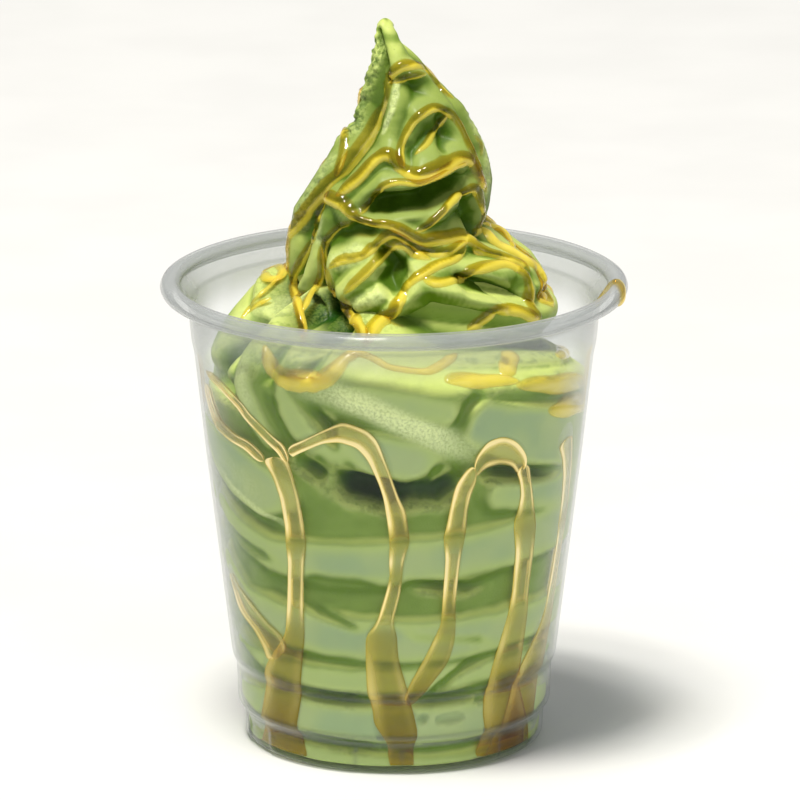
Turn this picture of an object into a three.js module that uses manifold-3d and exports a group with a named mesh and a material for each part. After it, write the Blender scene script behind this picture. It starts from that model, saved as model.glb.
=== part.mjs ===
// A clear plastic cup of matcha soft serve with honey, as a three.js scene graph.
// Millimetres, +Z up, the origin under the middle of the cup's foot.
//
//   cup         one lathed shell: recessed foot, two nesting steps, tapered wall, rolled rim
//   soft_serve  the ice cream: coils pressed on the wall, a ledge inside the rim, a folded
//               peak, and the thick honey strands that lie on it

import * as THREE from 'three';
import { mergeVertices } from 'three/addons/utils/BufferGeometryUtils.js';
import Module from 'manifold-3d';

const manifold = await Module();
manifold.setup();

// ---------------------------------------------------------------- driving dimensions (mm)

const CUP_HEIGHT = 99.5;
const RIM_RADIUS = 49;
const RIM_BEAD_WIDTH = 4.2;
const RIM_BEAD_HEIGHT = 3.6;
const WALL = 0.65;
const FOOT_RECESS = 1.2;
const FOOT_RING = [27.2, 29.6];        // inner and outer radius of the ring that the cup stands on
const CUP_SIDES = 48;

const PEAK_HEIGHT = 155;               // top of the ice cream above the table
const CLEARANCE = 0.3;                 // between the ice cream and the cup
const MERIDIANS = 56;
const ROWS = 60;
const TIP_ROUNDING = 2.2;
const CORE_DEPTH = 5;                  // how far the swirl's core lies behind its folds
const LEDGE_HEIGHT = 84;               // the peak's folds start above this
const COILS_END = 110;                 // above this only the folds count

// How widely forms blend where they meet: turns of the rope, bulges, folds, and these groups.
const TURN_BLEND = 0.35;
const BULGE_BLEND = 0.3;
const FOLD_BLEND = 0.25;
const GROUP_BLEND = 0.4;

// Paths are measured and cut into steps on a surface unrolled at these radii.
const WALL_UNROLLED = 38;
const PEAK_UNROLLED = 18;
const WALL_PATH_STEP = 1.2;
const PEAK_PATH_STEP = 0.8;
const NOWHERE = -60;                   // a radius that lies behind every surface
const THINNEST = 0.3;                  // smallest radius of the ice cream

// ---------------------------------------------------------------- the reference view
// Folds and strands are drawn where a front view of 800 x 800 pixels shows them. The view
// looks along +Y and down by VIEW_TILT, and the middle of the rim lies at RIM_PIXEL.

const PIXELS_PER_MM = 4.776;
const RIM_PIXEL = [394, 284.9];
const RIM_LEVEL = 97.7;
const VIEW_TILT = THREE.MathUtils.degToRad(14.6);

// ---------------------------------------------------------------- small helpers

const clamp = THREE.MathUtils.clamp;
const smooth = THREE.MathUtils.smoothstep;
const radians = THREE.MathUtils.degToRad;
const turn = (degrees) => ((degrees % 360) + 540) % 360 - 180;
const softMax = (a, b, s) => Math.max(a, b) + s * Math.log1p(Math.exp(-Math.abs(a - b) / s));

// Value at x of a polyline given by its x and y lists.
function along(x, xs, ys) {
  if (x <= xs[0]) return ys[0];
  for (let i = 1; i < xs.length; i++) {
    if (x <= xs[i]) return ys[i - 1] + (ys[i] - ys[i - 1]) * (x - xs[i - 1]) / (xs[i] - xs[i - 1]);
  }
  return ys[ys.length - 1];
}

// ---------------------------------------------------------------- cup

// Outer radius of the wall by height: foot, first step, second step, taper, stacking shoulder.
const WALL_Z = [0.0, 1.3, 6.6, 8.2, 16.6, 18.4, 62, 83.6, 86.5, 94, 96.4];
const WALL_R = [30.4, 31.2, 31.5, 33.0, 33.3, 34.2, 39.5, 41.9, 42.5, 43.2, 44.4];

const insideWall = (z) => along(z, WALL_Z, WALL_R) - WALL;

function cupProfile() {
  const [ringIn, ringOut] = FOOT_RING;
  const beadR = RIM_RADIUS - RIM_BEAD_WIDTH / 2;
  const beadZ = CUP_HEIGHT - RIM_BEAD_HEIGHT / 2;
  const foot = [[0, FOOT_RECESS], [ringIn - 2, FOOT_RECESS], [ringIn, 0], [ringOut, 0], [ringOut + 1.1, 0.4]];
  const outside = WALL_Z.map((z, i) => [WALL_R[i], z]).slice(1);
  const bead = [];
  for (let a = -120; a <= 160; a += 40) {
    bead.push([beadR + RIM_BEAD_WIDTH / 2 * Math.cos(radians(a)),
      beadZ + RIM_BEAD_HEIGHT / 2 * Math.sin(radians(a))]);
  }
  const inside = WALL_Z.map((z, i) => [WALL_R[i] - WALL, z]).slice(2).reverse();
  const top = FOOT_RECESS + WALL;
  const floor = [[ringOut + 0.4, top + 0.4], [ringOut - 1, top], [0, top]];
  return [...foot, ...outside, ...bead, ...inside, ...floor].map(([r, z]) => new THREE.Vector2(r, z));
}

// ---------------------------------------------------------------- closed meshes

// Merges the shared vertices of a closed geometry and drops the triangles that collapse.
function welded(geometry) {
  geometry.deleteAttribute('normal');
  geometry.deleteAttribute('uv');
  const merged = mergeVertices(geometry, 1e-4);
  const index = merged.index.array;
  const kept = [];
  for (let i = 0; i < index.length; i += 3) {
    const [a, b, c] = [index[i], index[i + 1], index[i + 2]];
    if (a !== b && b !== c && c !== a) kept.push(a, b, c);
  }
  merged.setIndex(kept);
  return merged;
}

function toSolid(geometry) {
  const merged = welded(geometry);
  const triangles = Uint32Array.from(merged.index.array);
  const build = (triVerts) => new manifold.Manifold(new manifold.Mesh({
    numProp: 3, vertProperties: Float32Array.from(merged.attributes.position.array), triVerts }));
  const solid = build(triangles);
  if (solid.volume() > 0) return solid;
  for (let i = 0; i < triangles.length; i += 3) {
    [triangles[i + 1], triangles[i + 2]] = [triangles[i + 2], triangles[i + 1]];
  }
  return build(triangles);
}

function toGeometry(solid) {
  const { vertProperties, triVerts } = solid.getMesh();
  const geometry = new THREE.BufferGeometry();
  geometry.setAttribute('position', new THREE.BufferAttribute(vertProperties, 3));
  geometry.setIndex(new THREE.BufferAttribute(triVerts, 1));
  geometry.computeVertexNormals();
  return geometry;
}

function cup() {
  const lathe = new THREE.LatheGeometry(cupProfile(), CUP_SIDES);
  lathe.rotateX(Math.PI / 2);
  return toSolid(lathe);
}

// ---------------------------------------------------------------- ice cream: the outline

// Middle (x) and reach of the peak's outline by height. The peak leans, and its lower coil
// bulges to the right.
const OUTLINE_Z = [78, 89.7, 94.4, 99.9, 103.1, 107.4, 111.7, 116.1, 120.4, 124.7, 129.1, 133.3,
  137.7, 142, 146.4, 150.7, 152.8, 155];
const OUTLINE_X = [4.5, 5, 5.5, 4.5, 3.5, 0.9, -1.9, -0.9, 0.6, 1.8, 2.8, 3.4,
  3.1, 1.8, 0.7, -1, -1.7, -1.8];
const OUTLINE_R = [24, 24.5, 25.5, 27, 26, 23.4, 20.5, 20.8, 19.7, 17.9, 15.4, 12.5,
  10.4, 7.9, 5.8, 3.2, 2.6, 2];

const middle = (z) => along(z, OUTLINE_Z, OUTLINE_X) * smooth(z, 82, 96);
const reach = (z) => along(z, OUTLINE_Z, OUTLINE_R);
const upright = () => 0;

// Angle and height at which the view ray of each pixel meets the round body of radius
// radiusAt(z) about the axis x = axisAt(z).
function cast(path, radiusAt, axisAt) {
  let last = null;
  return path.map(([u, v]) => {
    const x = (u - RIM_PIXEL[0]) / PIXELS_PER_MM;
    const up = (RIM_PIXEL[1] - v) / PIXELS_PER_MM;
    let z = RIM_LEVEL + up / Math.cos(VIEW_TILT);
    let dx = 0;
    let y = 0;
    for (let pass = 0; pass < 30; pass++) {
      const r = radiusAt(z);
      dx = clamp(x - axisAt(z), -0.999 * r, 0.999 * r);
      y = -Math.sqrt(r * r - dx * dx);
      z = (z + RIM_LEVEL + (up - y * Math.sin(VIEW_TILT)) / Math.cos(VIEW_TILT)) / 2;
    }
    let angle = THREE.MathUtils.radToDeg(Math.atan2(y, dx));
    if (last !== null) angle = last + turn(angle - last);
    last = angle;
    return [angle, z];
  });
}

// Even steps along a path on the surface unrolled at the radius given: [angle, z, ...values].
function stepped(points, unrolled, step, ...values) {
  const s = [0];
  for (let i = 1; i < points.length; i++) {
    const across = radians(points[i][0] - points[i - 1][0]) * unrolled;
    s.push(s[i - 1] + Math.hypot(across, points[i][1] - points[i - 1][1]));
  }
  const count = Math.max(2, Math.floor(s[s.length - 1] / step));
  const columns = [points.map((p) => p[0]), points.map((p) => p[1]), ...values];
  return Array.from({ length: count }, (_, i) => {
    const t = s[s.length - 1] * i / (count - 1);
    return columns.map((column) => along(t, s, column));
  });
}

// ---------------------------------------------------------------- ice cream: its forms

// The rope that was piped into the cup, by turn counted from the foot at the front: height of
// its middle, radius of its path and thickness. It winds down to the right as seen from outside.
const TURN = [-1, 0, 1, 2, 3, 4, 5, 5.5, 6, 6.5, 7, 8];
const TURN_Z = [-5, 5, 14.5, 25, 37.5, 53, 77, 84.5, 93.5, 100.5, 108, 118];
const TURN_PATH = [25.5, 26.5, 27.5, 28.2, 28.4, 28.4, 28.5, 20, 13, 10, 6, -20];
const TURN_THICKNESS = [6.5, 6.5, 6.8, 7.8, 9.2, 11.2, 15, 14, 13.5, 13, 10, 6];
const ROPE_LOBES = 9;
const LOBE_HEIGHT = 1.3;
const LOBE_MEAN = 0.75;
const LOBE_SHIFT = 0.6;                // radians that the lobes move from turn to turn
const LOBE_TWIST = 0.8;                // degrees that they move with each degree round the cup
const WOBBLE_WAVES = 3;                // the rope rises and falls by 1 mm this often round the cup
const WOBBLE_START = 40;
const WOBBLE_PER_MM = 0.11;
const TURN_END_SLOPE = 4;              // how fast the radius falls off above and below a turn

// Where the piped rope sags or is pushed up: angle from the front, height, shift, spreads.
const SAGS = [[110, 60, 4, 35, 12], [-120, 50, -4, 30, 12], [170, 30, 3, 30, 12], [150, 75, 4, 40, 12],
  [-97, 95, 6, 26, 11]];

// Bulges pressed flat on the wall: pixels, half height of the flat at each (mm), roundness.
const PRESSED = {
  left_post: [[[243, 372], [248, 390], [262, 420], [284, 446]], [0, 1, 1.5, 1], 4],
  brow: [[[322, 380], [360, 394], [410, 406], [446, 412]], [0.5, 2.5, 3, 2.5], 4],
  brow_right: [[[484, 424], [530, 434], [588, 436]], [5, 6, 6], 5],
  belly: [[[352, 444], [380, 455], [412, 460], [436, 459]], [3, 4.6, 4.4, 2], 5],
  belly_left: [[[290, 410], [312, 434], [340, 458]], [2.2, 2.4, 1.5], 4],
  left_pad: [[[208, 430], [232, 466], [258, 486], [284, 494]], [4, 6.5, 6, 3.5], 6],
  girdle: [[[222, 500], [240, 530], [270, 552], [330, 562], [410, 560], [470, 552], [530, 535], [572, 510]],
    [2, 3, 3.5, 4.5, 4.5, 4.5, 5, 5], 6],
  right_pad: [[[500, 492], [540, 490], [576, 478]], [3, 4, 4], 5],
  hem: [[[228, 560], [248, 600], [290, 625], [350, 636], [400, 640], [450, 638], [510, 625], [560, 600]],
    [2.5, 3, 4.5, 4.5, 4.5, 4.5, 4, 4], 5],
  hem_low: [[[240, 640], [280, 668], [330, 678], [390, 680], [450, 674], [510, 664], [552, 645]],
    [1, 2, 2.5, 2.5, 2.5, 2, 1], 4],
  base_roll: [[[242, 690], [290, 712], [340, 722], [400, 727], [450, 724], [500, 714], [546, 692]],
    [2, 4, 4, 4.5, 4.5, 4, 2], 4],
  toe: [[[250, 735], [300, 752], [400, 766], [480, 760], [535, 740]], [1, 2, 2, 2, 1], 3],
};
const FRONT_RETREAT = 5;               // how far the plain rope stays behind these bulges
const FRONT_HALF_ANGLE = 95;           // it does so this far to either side of the front,
const FRONT_FADE = 30;                 // and fades in over this angle
const LEDGE_FADE = 8;                  // and over this height under the ledge

// Crests of the peak's folds: pixels, height over the outline at each (mm), roundness.
const FOLDS = {
  torn_edge: [[[381, 26], [373, 62], [361, 98], [352, 128]], [0.2, 0.2, 0.2, -0.2], 2.2],
  left_edge: [[[346, 132], [330, 160], [306, 195], [293, 225], [290, 262], [297, 300], [306, 335]],
    [0.3, 0.4, 0.3, 0.2, 0.2, -0.5, -1], 3.2],
  left_inner: [[[356, 118], [344, 150], [322, 182], [302, 208]], [-1, -0.8, -0.6, -0.6], 2.2],
  spine: [[[392, 36], [396, 76], [394, 110], [388, 140], [387, 153]], [0.3, 0.3, 0.2, 0.2, 0.6], 2.6],
  spine_left: [[[387, 153], [370, 168], [350, 190], [338, 200]], [0.6, 0.8, 0.8, 0.5], 2.2],
  spine_right: [[[387, 153], [402, 166], [420, 176]], [0.6, 0.3, 0.3], 1.8],
  drape_left: [[[334, 205], [322, 235], [311, 268], [300, 300], [308, 335]],
    [-0.2, -0.2, -0.2, -0.3, -0.3], 2.4],
  brow_high: [[[404, 66], [428, 82], [450, 112], [466, 148]], [0.2, 0.3, 0.3, 0.4], 2.6],
  brow_side: [[[470, 155], [478, 180], [480, 205], [478, 228]], [0.4, 0.4, 0.2, 0], 2.6],
  dome: [[[418, 118], [442, 108]], [0.3, 0.5], 2],
  dome_left: [[[418, 118], [408, 135], [403, 150]], [0.2, 0.2, 0], 1.6],
  dome_right: [[[440, 112], [458, 132], [468, 150]], [0.2, 0.5, 0.3], 2.2],
  shelf: [[[420, 172], [440, 164], [466, 153]], [1.2, 1.3, 1], 2.4],
  lip: [[[352, 208], [366, 196], [382, 184], [412, 186], [440, 174], [466, 160]],
    [0.6, 1, 1.4, 1.6, 1.4, 0.8], 1.7],
  behind_right: [[[462, 108], [484, 148], [490, 185], [483, 218]], [0.4, 0.2, 0, 0], 3],
  chin_fold: [[[474, 184], [452, 200], [440, 214], [416, 230]], [0.4, 1, 1, 0.6], 2],
  tongue: [[[382, 219], [404, 214], [424, 219]], [-0.3, 0.9, 0.4], 2],
  hood_left: [[[330, 197], [348, 214], [376, 222], [398, 231]], [0.4, 0.8, 1, 1], 1.8],
  hood: [[[398, 231], [420, 240], [442, 243], [468, 241], [490, 252], [515, 261], [531, 274]],
    [1.4, 1.8, 1.8, 1.4, 1.4, 1, 0.4], 1.7],
  block_high: [[[396, 234], [372, 247], [356, 257], [334, 266], [328, 284]], [1, 1.5, 1.6, 1.2, 0.6], 2],
  block_low: [[[402, 243], [382, 256], [360, 278], [345, 294], [348, 312], [362, 332]],
    [1.4, 2, 2.2, 1.8, 1.3, 1], 1.6],
  wedge: [[[448, 262], [428, 269], [410, 286], [398, 304], [376, 326]], [1.4, 2, 2.4, 2, 1.4], 1.7],
  wedge_shelf: [[[428, 282], [450, 289], [475, 298], [500, 309], [518, 318]], [2.2, 2, 1.6, 1.2, 0.8], 1.8],
  lit_patch: [[[388, 292], [374, 298], [360, 308]], [1.6, 2, 1.4], 1.8],
  shoulder: [[[448, 264], [480, 268], [508, 266], [526, 280], [530, 300], [540, 320]],
    [1, 1.4, 1.4, 1, 0.6, 0.2], 2],
  skirt: [[[466, 332], [490, 316], [510, 310], [534, 316]], [0.2, 0.9, 0.8, 0.3], 2],
  back_right: [[[476, 234], [500, 240], [524, 256], [542, 276], [544, 300]], [0, 0.2, 0.3, 0.3, 0], 2.6],
  side_left: [[[290, 252], [284, 275], [292, 300], [296, 330]], [-1, -0.6, -0.5, -0.5], 2.4],
};

// The folds behind repeat one drape round the back.
const BACK_FOLDS = 5;
const BACK_START = 25;
const BACK_SPACING = 32;
const BACK_DRAPE = [[0, 147.8], [-8, 135.8], [-18, 123.8], [-30, 111.8], [-44, 99.8]];
const BACK_LIFT = [0, 0.2, 0.3, 0.4, 0.5];
const BACK_ROUNDNESS = 3.2;
const BACK_DROP = 1.5;                 // each fold behind starts this much lower than the last

// Valleys and hollows: pixels, depth, half width (mm).
const HOLLOWS = {
  tip_cleft: [[[380, 40], [384, 62], [386, 84]], 1.1, 0.7],
  channel: [[[386, 84], [376, 120], [356, 158], [334, 184], [312, 210], [298, 232]], 1, 1.5],
  cave: [[[376, 206], [400, 205], [428, 199], [456, 186]], 5.5, 2.3],
  cave_left: [[[356, 226], [372, 231]], 2, 1.2],
  dome_cleft: [[[430, 122], [438, 142]], 1.8, 1.8],
  shelf_gap: [[[408, 150], [412, 166]], 0.8, 1.3],
  throat: [[[464, 198], [474, 216], [474, 236]], 2, 1.3],
  block_pit: [[[392, 260], [398, 271], [394, 284]], 3.8, 2.4],
  wedge_foot: [[[392, 322], [410, 326]], 1.8, 1.4],
  shoulder_pit: [[[466, 284], [495, 290], [515, 300], [520, 310]], 3.2, 1.9],
  wedge_wall: [[[404, 322], [436, 314], [466, 322]], 1.2, 2.6],
  hood_crease: [[[470, 252], [500, 258]], 1, 1],
  left_crease: [[[322, 248], [322, 272], [316, 296], [322, 325]], 1.8, 1.3],
  side_crease: [[[297, 270], [292, 296]], 1.6, 1.2],
};

function pipedRope(angle, z) {
  const fromFront = turn(angle - 270);
  let level = z - Math.sin(radians(WOBBLE_WAVES * angle + WOBBLE_START) + WOBBLE_PER_MM * z);
  for (const [at, height, shift, across, up] of SAGS) {
    level -= shift * Math.exp(-((turn(fromFront - at) / across) ** 2) - ((z - height) / up) ** 2);
  }
  let best = NOWHERE;
  for (let k = -1; k < TURN.at(-1); k++) {
    const t = k - fromFront / 360;
    const thickness = along(t, TURN, TURN_THICKNESS);
    const dz = level - along(t, TURN, TURN_Z);
    const q = clamp(Math.abs(dz) / thickness, 0, 0.995);
    const lobe = Math.abs(Math.cos(ROPE_LOBES / 2 * Math.asin(clamp(dz / thickness, -1, 1))
      + LOBE_SHIFT * k + radians(LOBE_TWIST * fromFront)));
    const value = along(t, TURN, TURN_PATH) + thickness * Math.sqrt(1 - q * q)
      - TURN_END_SLOPE * Math.max(Math.abs(dz) - thickness, 0) + LOBE_HEIGHT * (lobe - LOBE_MEAN);
    best = softMax(best, value, TURN_BLEND);
  }
  return best;
}

// A ridge reaches its lift at its crest and falls off as a parabola of the roundness given.
const pressedRidges = Object.values(PRESSED).map(([path, half, roundness]) => ({
  crests: stepped(cast(path, insideWall, upright), WALL_UNROLLED, WALL_PATH_STEP, half)
    .map(([a, z, h]) => [a, z, h * h / (2 * roundness)]),
  roundness,
}));

const foldRidges = [
  ...Object.values(FOLDS).map(([path, lift, roundness]) =>
    ({ crests: stepped(cast(path, reach, middle), PEAK_UNROLLED, PEAK_PATH_STEP, lift), roundness })),
  ...Array.from({ length: BACK_FOLDS }, (_, i) => {
    const path = BACK_DRAPE.map(([a, z]) => [BACK_START + BACK_SPACING * i + a, z - BACK_DROP * i]);
    return { crests: stepped(path, PEAK_UNROLLED, PEAK_PATH_STEP, BACK_LIFT), roundness: BACK_ROUNDNESS };
  }),
];

const hollowPaths = Object.values(HOLLOWS).map(([path, depth, width]) =>
  ({ steps: stepped(cast(path, reach, middle), PEAK_UNROLLED, PEAK_PATH_STEP), depth, width }));

// Squared distance on the unrolled surface between a point and a step of a path.
const RIDGE_REACH = 12;
const onWall = () => WALL_UNROLLED;
const onPeak = (z) => Math.max(reach(z), 3);
function gapSquared(angle, z, a, b, unrolled) {
  if (Math.abs(z - b) > RIDGE_REACH) return Infinity;
  return (radians(turn(angle - a)) * unrolled) ** 2 + (z - b) ** 2;
}

function highest(angle, z, { crests, roundness }, unrolledAt) {
  return Math.max(NOWHERE, ...crests.map(([a, b, lift]) =>
    lift - gapSquared(angle, z, a, b, unrolledAt(b)) / (2 * roundness)));
}

function pressedBulges(angle, z) {
  return pressedRidges.reduce((total, one) =>
    softMax(total, insideWall(z) + highest(angle, z, one, onWall), BULGE_BLEND), NOWHERE);
}

function foldedPeak(angle, z) {
  const outline = reach(z);
  let radius = foldRidges.reduce((total, one) =>
    softMax(total, outline + highest(angle, z, one, onPeak), FOLD_BLEND), outline - CORE_DEPTH);
  for (const { steps, depth, width } of hollowPaths) {
    const nearest = Math.min(...steps.map(([a, b]) => gapSquared(angle, z, a, b, onPeak(b))));
    radius -= depth * Math.exp(-nearest / (width * width));
  }
  return radius;
}

// Radius of the ice cream about its leaning axis.
function iceCreamRadius(angle, z) {
  let radius = NOWHERE;
  if (z <= COILS_END) {
    const front = clamp((FRONT_HALF_ANGLE - Math.abs(turn(angle - 270))) / FRONT_FADE, 0, 1)
      * clamp((LEDGE_HEIGHT - z) / LEDGE_FADE, 0, 1);
    radius = softMax(pipedRope(angle, z) - FRONT_RETREAT * front, pressedBulges(angle, z), GROUP_BLEND);
  }
  if (z > LEDGE_HEIGHT) radius = softMax(radius, foldedPeak(angle, z), GROUP_BLEND);
  return Math.max(radius, THINNEST);
}

// ---------------------------------------------------------------- ice cream: the solid

const FLOOR = FOOT_RECESS + WALL + CLEARANCE;
const ROW_REACH = (PEAK_HEIGHT - FLOOR) / ROWS * 1.6;      // tallest step from row to row

// Radius left free by the cup, seen from the leaning axis. It looks one row down, so that the
// flat faces between two rows stay clear of the steps in the wall.
function freeRadius(angle, z) {
  if (z > CUP_HEIGHT) return Infinity;
  const wall = insideWall(z - ROW_REACH) - CLEARANCE;
  const x = middle(z);
  const a = radians(angle);
  return -x * Math.cos(a) + Math.sqrt(wall * wall - (x * Math.sin(a)) ** 2);
}

function bodyRadius(angle, z) {
  const tip = clamp((PEAK_HEIGHT - z) / TIP_ROUNDING, 0, 1);
  return Math.min(iceCreamRadius(angle, z), freeRadius(angle, z)) * Math.sqrt(1 - (1 - tip) ** 2);
}

function onBody(angle, z, lift = 0) {
  const r = bodyRadius(angle, z) + lift;
  return new THREE.Vector3(middle(z) + r * Math.cos(radians(angle)), r * Math.sin(radians(angle)), z);
}

// Heights of the rows: closer together where the outline runs flat, as on the ledge.
function rowHeights() {
  const samples = 600;
  const z = Array.from({ length: samples + 1 }, (_, i) => FLOOR + (PEAK_HEIGHT - FLOOR) * i / samples);
  const s = new Array(samples + 1).fill(0);
  for (let j = 0; j < MERIDIANS; j += 5) {
    for (let i = 1; i <= samples; i++) {
      const run = Math.abs(bodyRadius(360 * j / MERIDIANS, z[i]) - bodyRadius(360 * j / MERIDIANS, z[i - 1]));
      s[i] += Math.min(Math.hypot(run, z[i] - z[i - 1]), 1.2);
    }
  }
  for (let i = 1; i <= samples; i++) s[i] += s[i - 1];
  return Array.from({ length: ROWS }, (_, i) => along(s[samples] * i / (ROWS - 1), s, z));
}

function iceCream() {
  const heights = rowHeights();
  const profile = [new THREE.Vector2(0, FLOOR), ...heights.map((z) => new THREE.Vector2(1, z)),
    new THREE.Vector2(0, PEAK_HEIGHT)];
  const geometry = new THREE.LatheGeometry(profile, MERIDIANS);
  const position = geometry.attributes.position;
  const point = new THREE.Vector3();
  for (let k = 0; k < position.count; k++) {
    const row = k % profile.length;
    const angle = 360 * (Math.floor(k / profile.length) % MERIDIANS) / MERIDIANS;
    const z = profile[row].y;
    if (row === 0 || row >= profile.length - 2) point.set(middle(z), 0, z);
    else point.copy(onBody(angle, z));
    position.setXYZ(k, point.x, point.y, point.z);
  }
  return toSolid(geometry);
}

// ---------------------------------------------------------------- honey

// Thick strands on the peak: pixels and strand radius (mm).
const STRANDS = {
  channel: [[[454, 100], [443, 94], [431, 75], [418, 66], [401, 67], [389, 78], [388, 100], [370, 135],
    [338, 178], [315, 200], [296, 224], [287, 262], [291, 274]], 1.3],
  left_drop: [[[326, 199], [319, 224], [301, 262], [293, 288], [304, 324]], 0.9],
  dome: [[[486, 193], [475, 161], [464, 136], [454, 117], [441, 109], [431, 109], [414, 121], [405, 136],
    [399, 153], [403, 170]], 0.9],
  shelf: [[[336, 197], [359, 178], [374, 161], [386, 153], [401, 170], [418, 178], [450, 164], [471, 161],
    [484, 190]], 1.3],
  lip: [[[359, 216], [368, 204], [382, 187], [406, 183], [435, 178], [470, 160]], 0.9],
  chin: [[[414, 233], [426, 227], [443, 212], [456, 197], [471, 187], [483, 212], [473, 237]], 1],
  hood: [[[326, 196], [344, 203], [354, 217], [375, 224], [403, 231], [422, 242], [446, 238], [468, 239],
    [488, 252], [515, 261], [529, 273]], 1.2],
  block_high: [[[329, 269], [336, 262], [359, 258], [378, 243], [395, 232], [415, 246], [437, 255],
    [468, 242]], 1],
  block_low: [[[363, 330], [346, 307], [344, 294], [361, 277], [382, 255], [401, 243], [419, 256],
    [431, 260]], 1],
  wedge: [[[370, 328], [392, 314], [401, 298], [419, 275], [448, 262]], 1.3],
  shoulder: [[[402, 316], [427, 287], [448, 281], [479, 268], [513, 266], [527, 278], [529, 305],
    [540, 319]], 1.1],
  right_edge: [[[482, 227], [500, 248], [523, 259], [541, 273], [541, 288]], 1.4],
};
const STRAND_SIDES = 6;
const STRAND_STEP = 4.2;
const STRAND_SINK = 0.25;

function strand([path, radius]) {
  const steps = stepped(cast(path, reach, middle), PEAK_UNROLLED, STRAND_STEP);
  const curve = new THREE.CatmullRomCurve3(steps.map(([angle, z]) => onBody(angle, z, -STRAND_SINK)));
  const section = new THREE.Shape(Array.from({ length: STRAND_SIDES }, (_, i) => new THREE.Vector2(
    radius * Math.cos(2 * Math.PI * i / STRAND_SIDES), radius * Math.sin(2 * Math.PI * i / STRAND_SIDES))));
  const options = { steps: steps.length, bevelEnabled: false, extrudePath: curve };
  return toSolid(new THREE.ExtrudeGeometry(section, options));
}

function softServe() {
  return Object.values(STRANDS).reduce((body, one) => body.add(strand(one)), iceCream());
}

// ---------------------------------------------------------------- the scene graph

const clearPlastic = new THREE.MeshStandardMaterial({
  color: 0xe9eded, roughness: 0.05, metalness: 0, transparent: true, opacity: 0.3 });
const matcha = new THREE.MeshStandardMaterial({ color: 0xa9bf62, roughness: 0.6, metalness: 0 });

function node(name, solid, material) {
  const mesh = new THREE.Mesh(toGeometry(solid), material);
  mesh.name = name;
  return mesh;
}

const dessert = new THREE.Group();
dessert.name = 'matcha_ice_cream_cup';
dessert.add(node('cup', cup(), clearPlastic));
dessert.add(node('soft_serve', softServe(), matcha));

export default dessert;
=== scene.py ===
"""A clear plastic cup of matcha soft serve with honey.

Tables and surfaces are worked out in millimetres and written into the meshes in metres. Paths are
given as the pixels, right and down, of the photograph that they are seen at.
"""

import bpy
import numpy as np
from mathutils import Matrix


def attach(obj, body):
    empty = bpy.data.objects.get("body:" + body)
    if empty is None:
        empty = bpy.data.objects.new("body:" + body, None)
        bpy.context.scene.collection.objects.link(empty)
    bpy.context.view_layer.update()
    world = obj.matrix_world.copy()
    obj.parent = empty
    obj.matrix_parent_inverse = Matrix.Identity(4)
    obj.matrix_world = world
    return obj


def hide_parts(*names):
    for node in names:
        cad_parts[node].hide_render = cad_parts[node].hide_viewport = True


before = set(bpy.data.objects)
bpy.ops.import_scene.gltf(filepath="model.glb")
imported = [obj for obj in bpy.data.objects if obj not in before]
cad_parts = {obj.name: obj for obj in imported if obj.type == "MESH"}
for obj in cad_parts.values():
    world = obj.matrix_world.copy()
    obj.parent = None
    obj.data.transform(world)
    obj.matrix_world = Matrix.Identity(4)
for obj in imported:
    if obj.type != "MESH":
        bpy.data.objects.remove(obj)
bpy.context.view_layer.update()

MM = 0.001

# ---------------------------------------------------------------- sizes shared with the part (mm)

CUP_HEIGHT = 99.5
RIM_RADIUS = 49.0
RIM_BEAD_WIDTH = 4.2
RIM_BEAD_HEIGHT = 3.6
WALL = 0.65
FOOT_RECESS = 1.2
FOOT_RING = (27.2, 29.6)
PEAK_HEIGHT = 155.0
TIP_ROUNDING = 3.2
CORE_DEPTH = 5.0
LEDGE_HEIGHT = 84.0
PEAK_BASE = 80.0
ROPE_TOP = 112.0

# The outside of the cup's wall, from the foot to the rim.
WALL_Z = [0.0, 1.3, 6.6, 8.2, 16.6, 18.4, 62, 83.6, 86.5, 94, 96.4]
WALL_R = [30.4, 31.2, 31.5, 33.0, 33.3, 34.2, 39.5, 41.9, 42.5, 43.2, 44.4]

# The peak's outline: heights, how far its middle leans to the right, radius.
OUTLINE_Z = [78, 89.7, 94.4, 99.9, 103.1, 107.4, 111.7, 116.1, 120.4, 124.7, 129.1, 133.3, 137.7,
             142, 146.4, 150.7, 152.8, 155]
OUTLINE_X = [4.5, 5, 5.5, 4.5, 3.5, 0.9, -1.9, -0.9, 0.6, 1.8, 2.8, 3.4, 3.1, 1.8, 0.7, -1, -1.7,
             -1.8]
OUTLINE_R = [24, 24.5, 25.5, 27, 26, 23.4, 20.5, 20.8, 19.7, 17.9, 15.4, 12.5, 10.4, 7.9, 5.8, 3.4,
             3.0, 2.7]

# The piped rope by its turns: height, radius of its path, half its thickness.
TURN = [-1, 0, 1, 2, 3, 4, 5, 5.5, 6, 6.5, 7, 8]
TURN_Z = [-5, 5, 14.5, 25, 37.5, 53, 77, 84.5, 93.5, 100.5, 108, 118]
TURN_PATH = [25.5, 26.5, 27.5, 28.2, 28.4, 28.4, 28.5, 20, 13, 10, 6, -20]
TURN_THICKNESS = [6.5, 6.5, 6.8, 7.8, 9.2, 11.2, 15, 14, 13.5, 13, 10, 6]
ROPE_LOBES = 9
LOBE_HEIGHT = 1.3
FRONT_RETREAT = 5.0

# The photograph's view: where it shows the middle of the rim, and how steeply it looks down.
PICTURE = 800
PIXELS_PER_MM = 4.776
RIM_PIXEL = (394.0, 284.9)
RIM_LEVEL = 97.7
VIEW_TILT = np.radians(14.6)
VIEW_DISTANCE = 2000.0

# Radii (mm) at which paths on the wall and on the peak are measured in even steps.
WALL_UNROLLED = 38
PEAK_UNROLLED = 18

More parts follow.
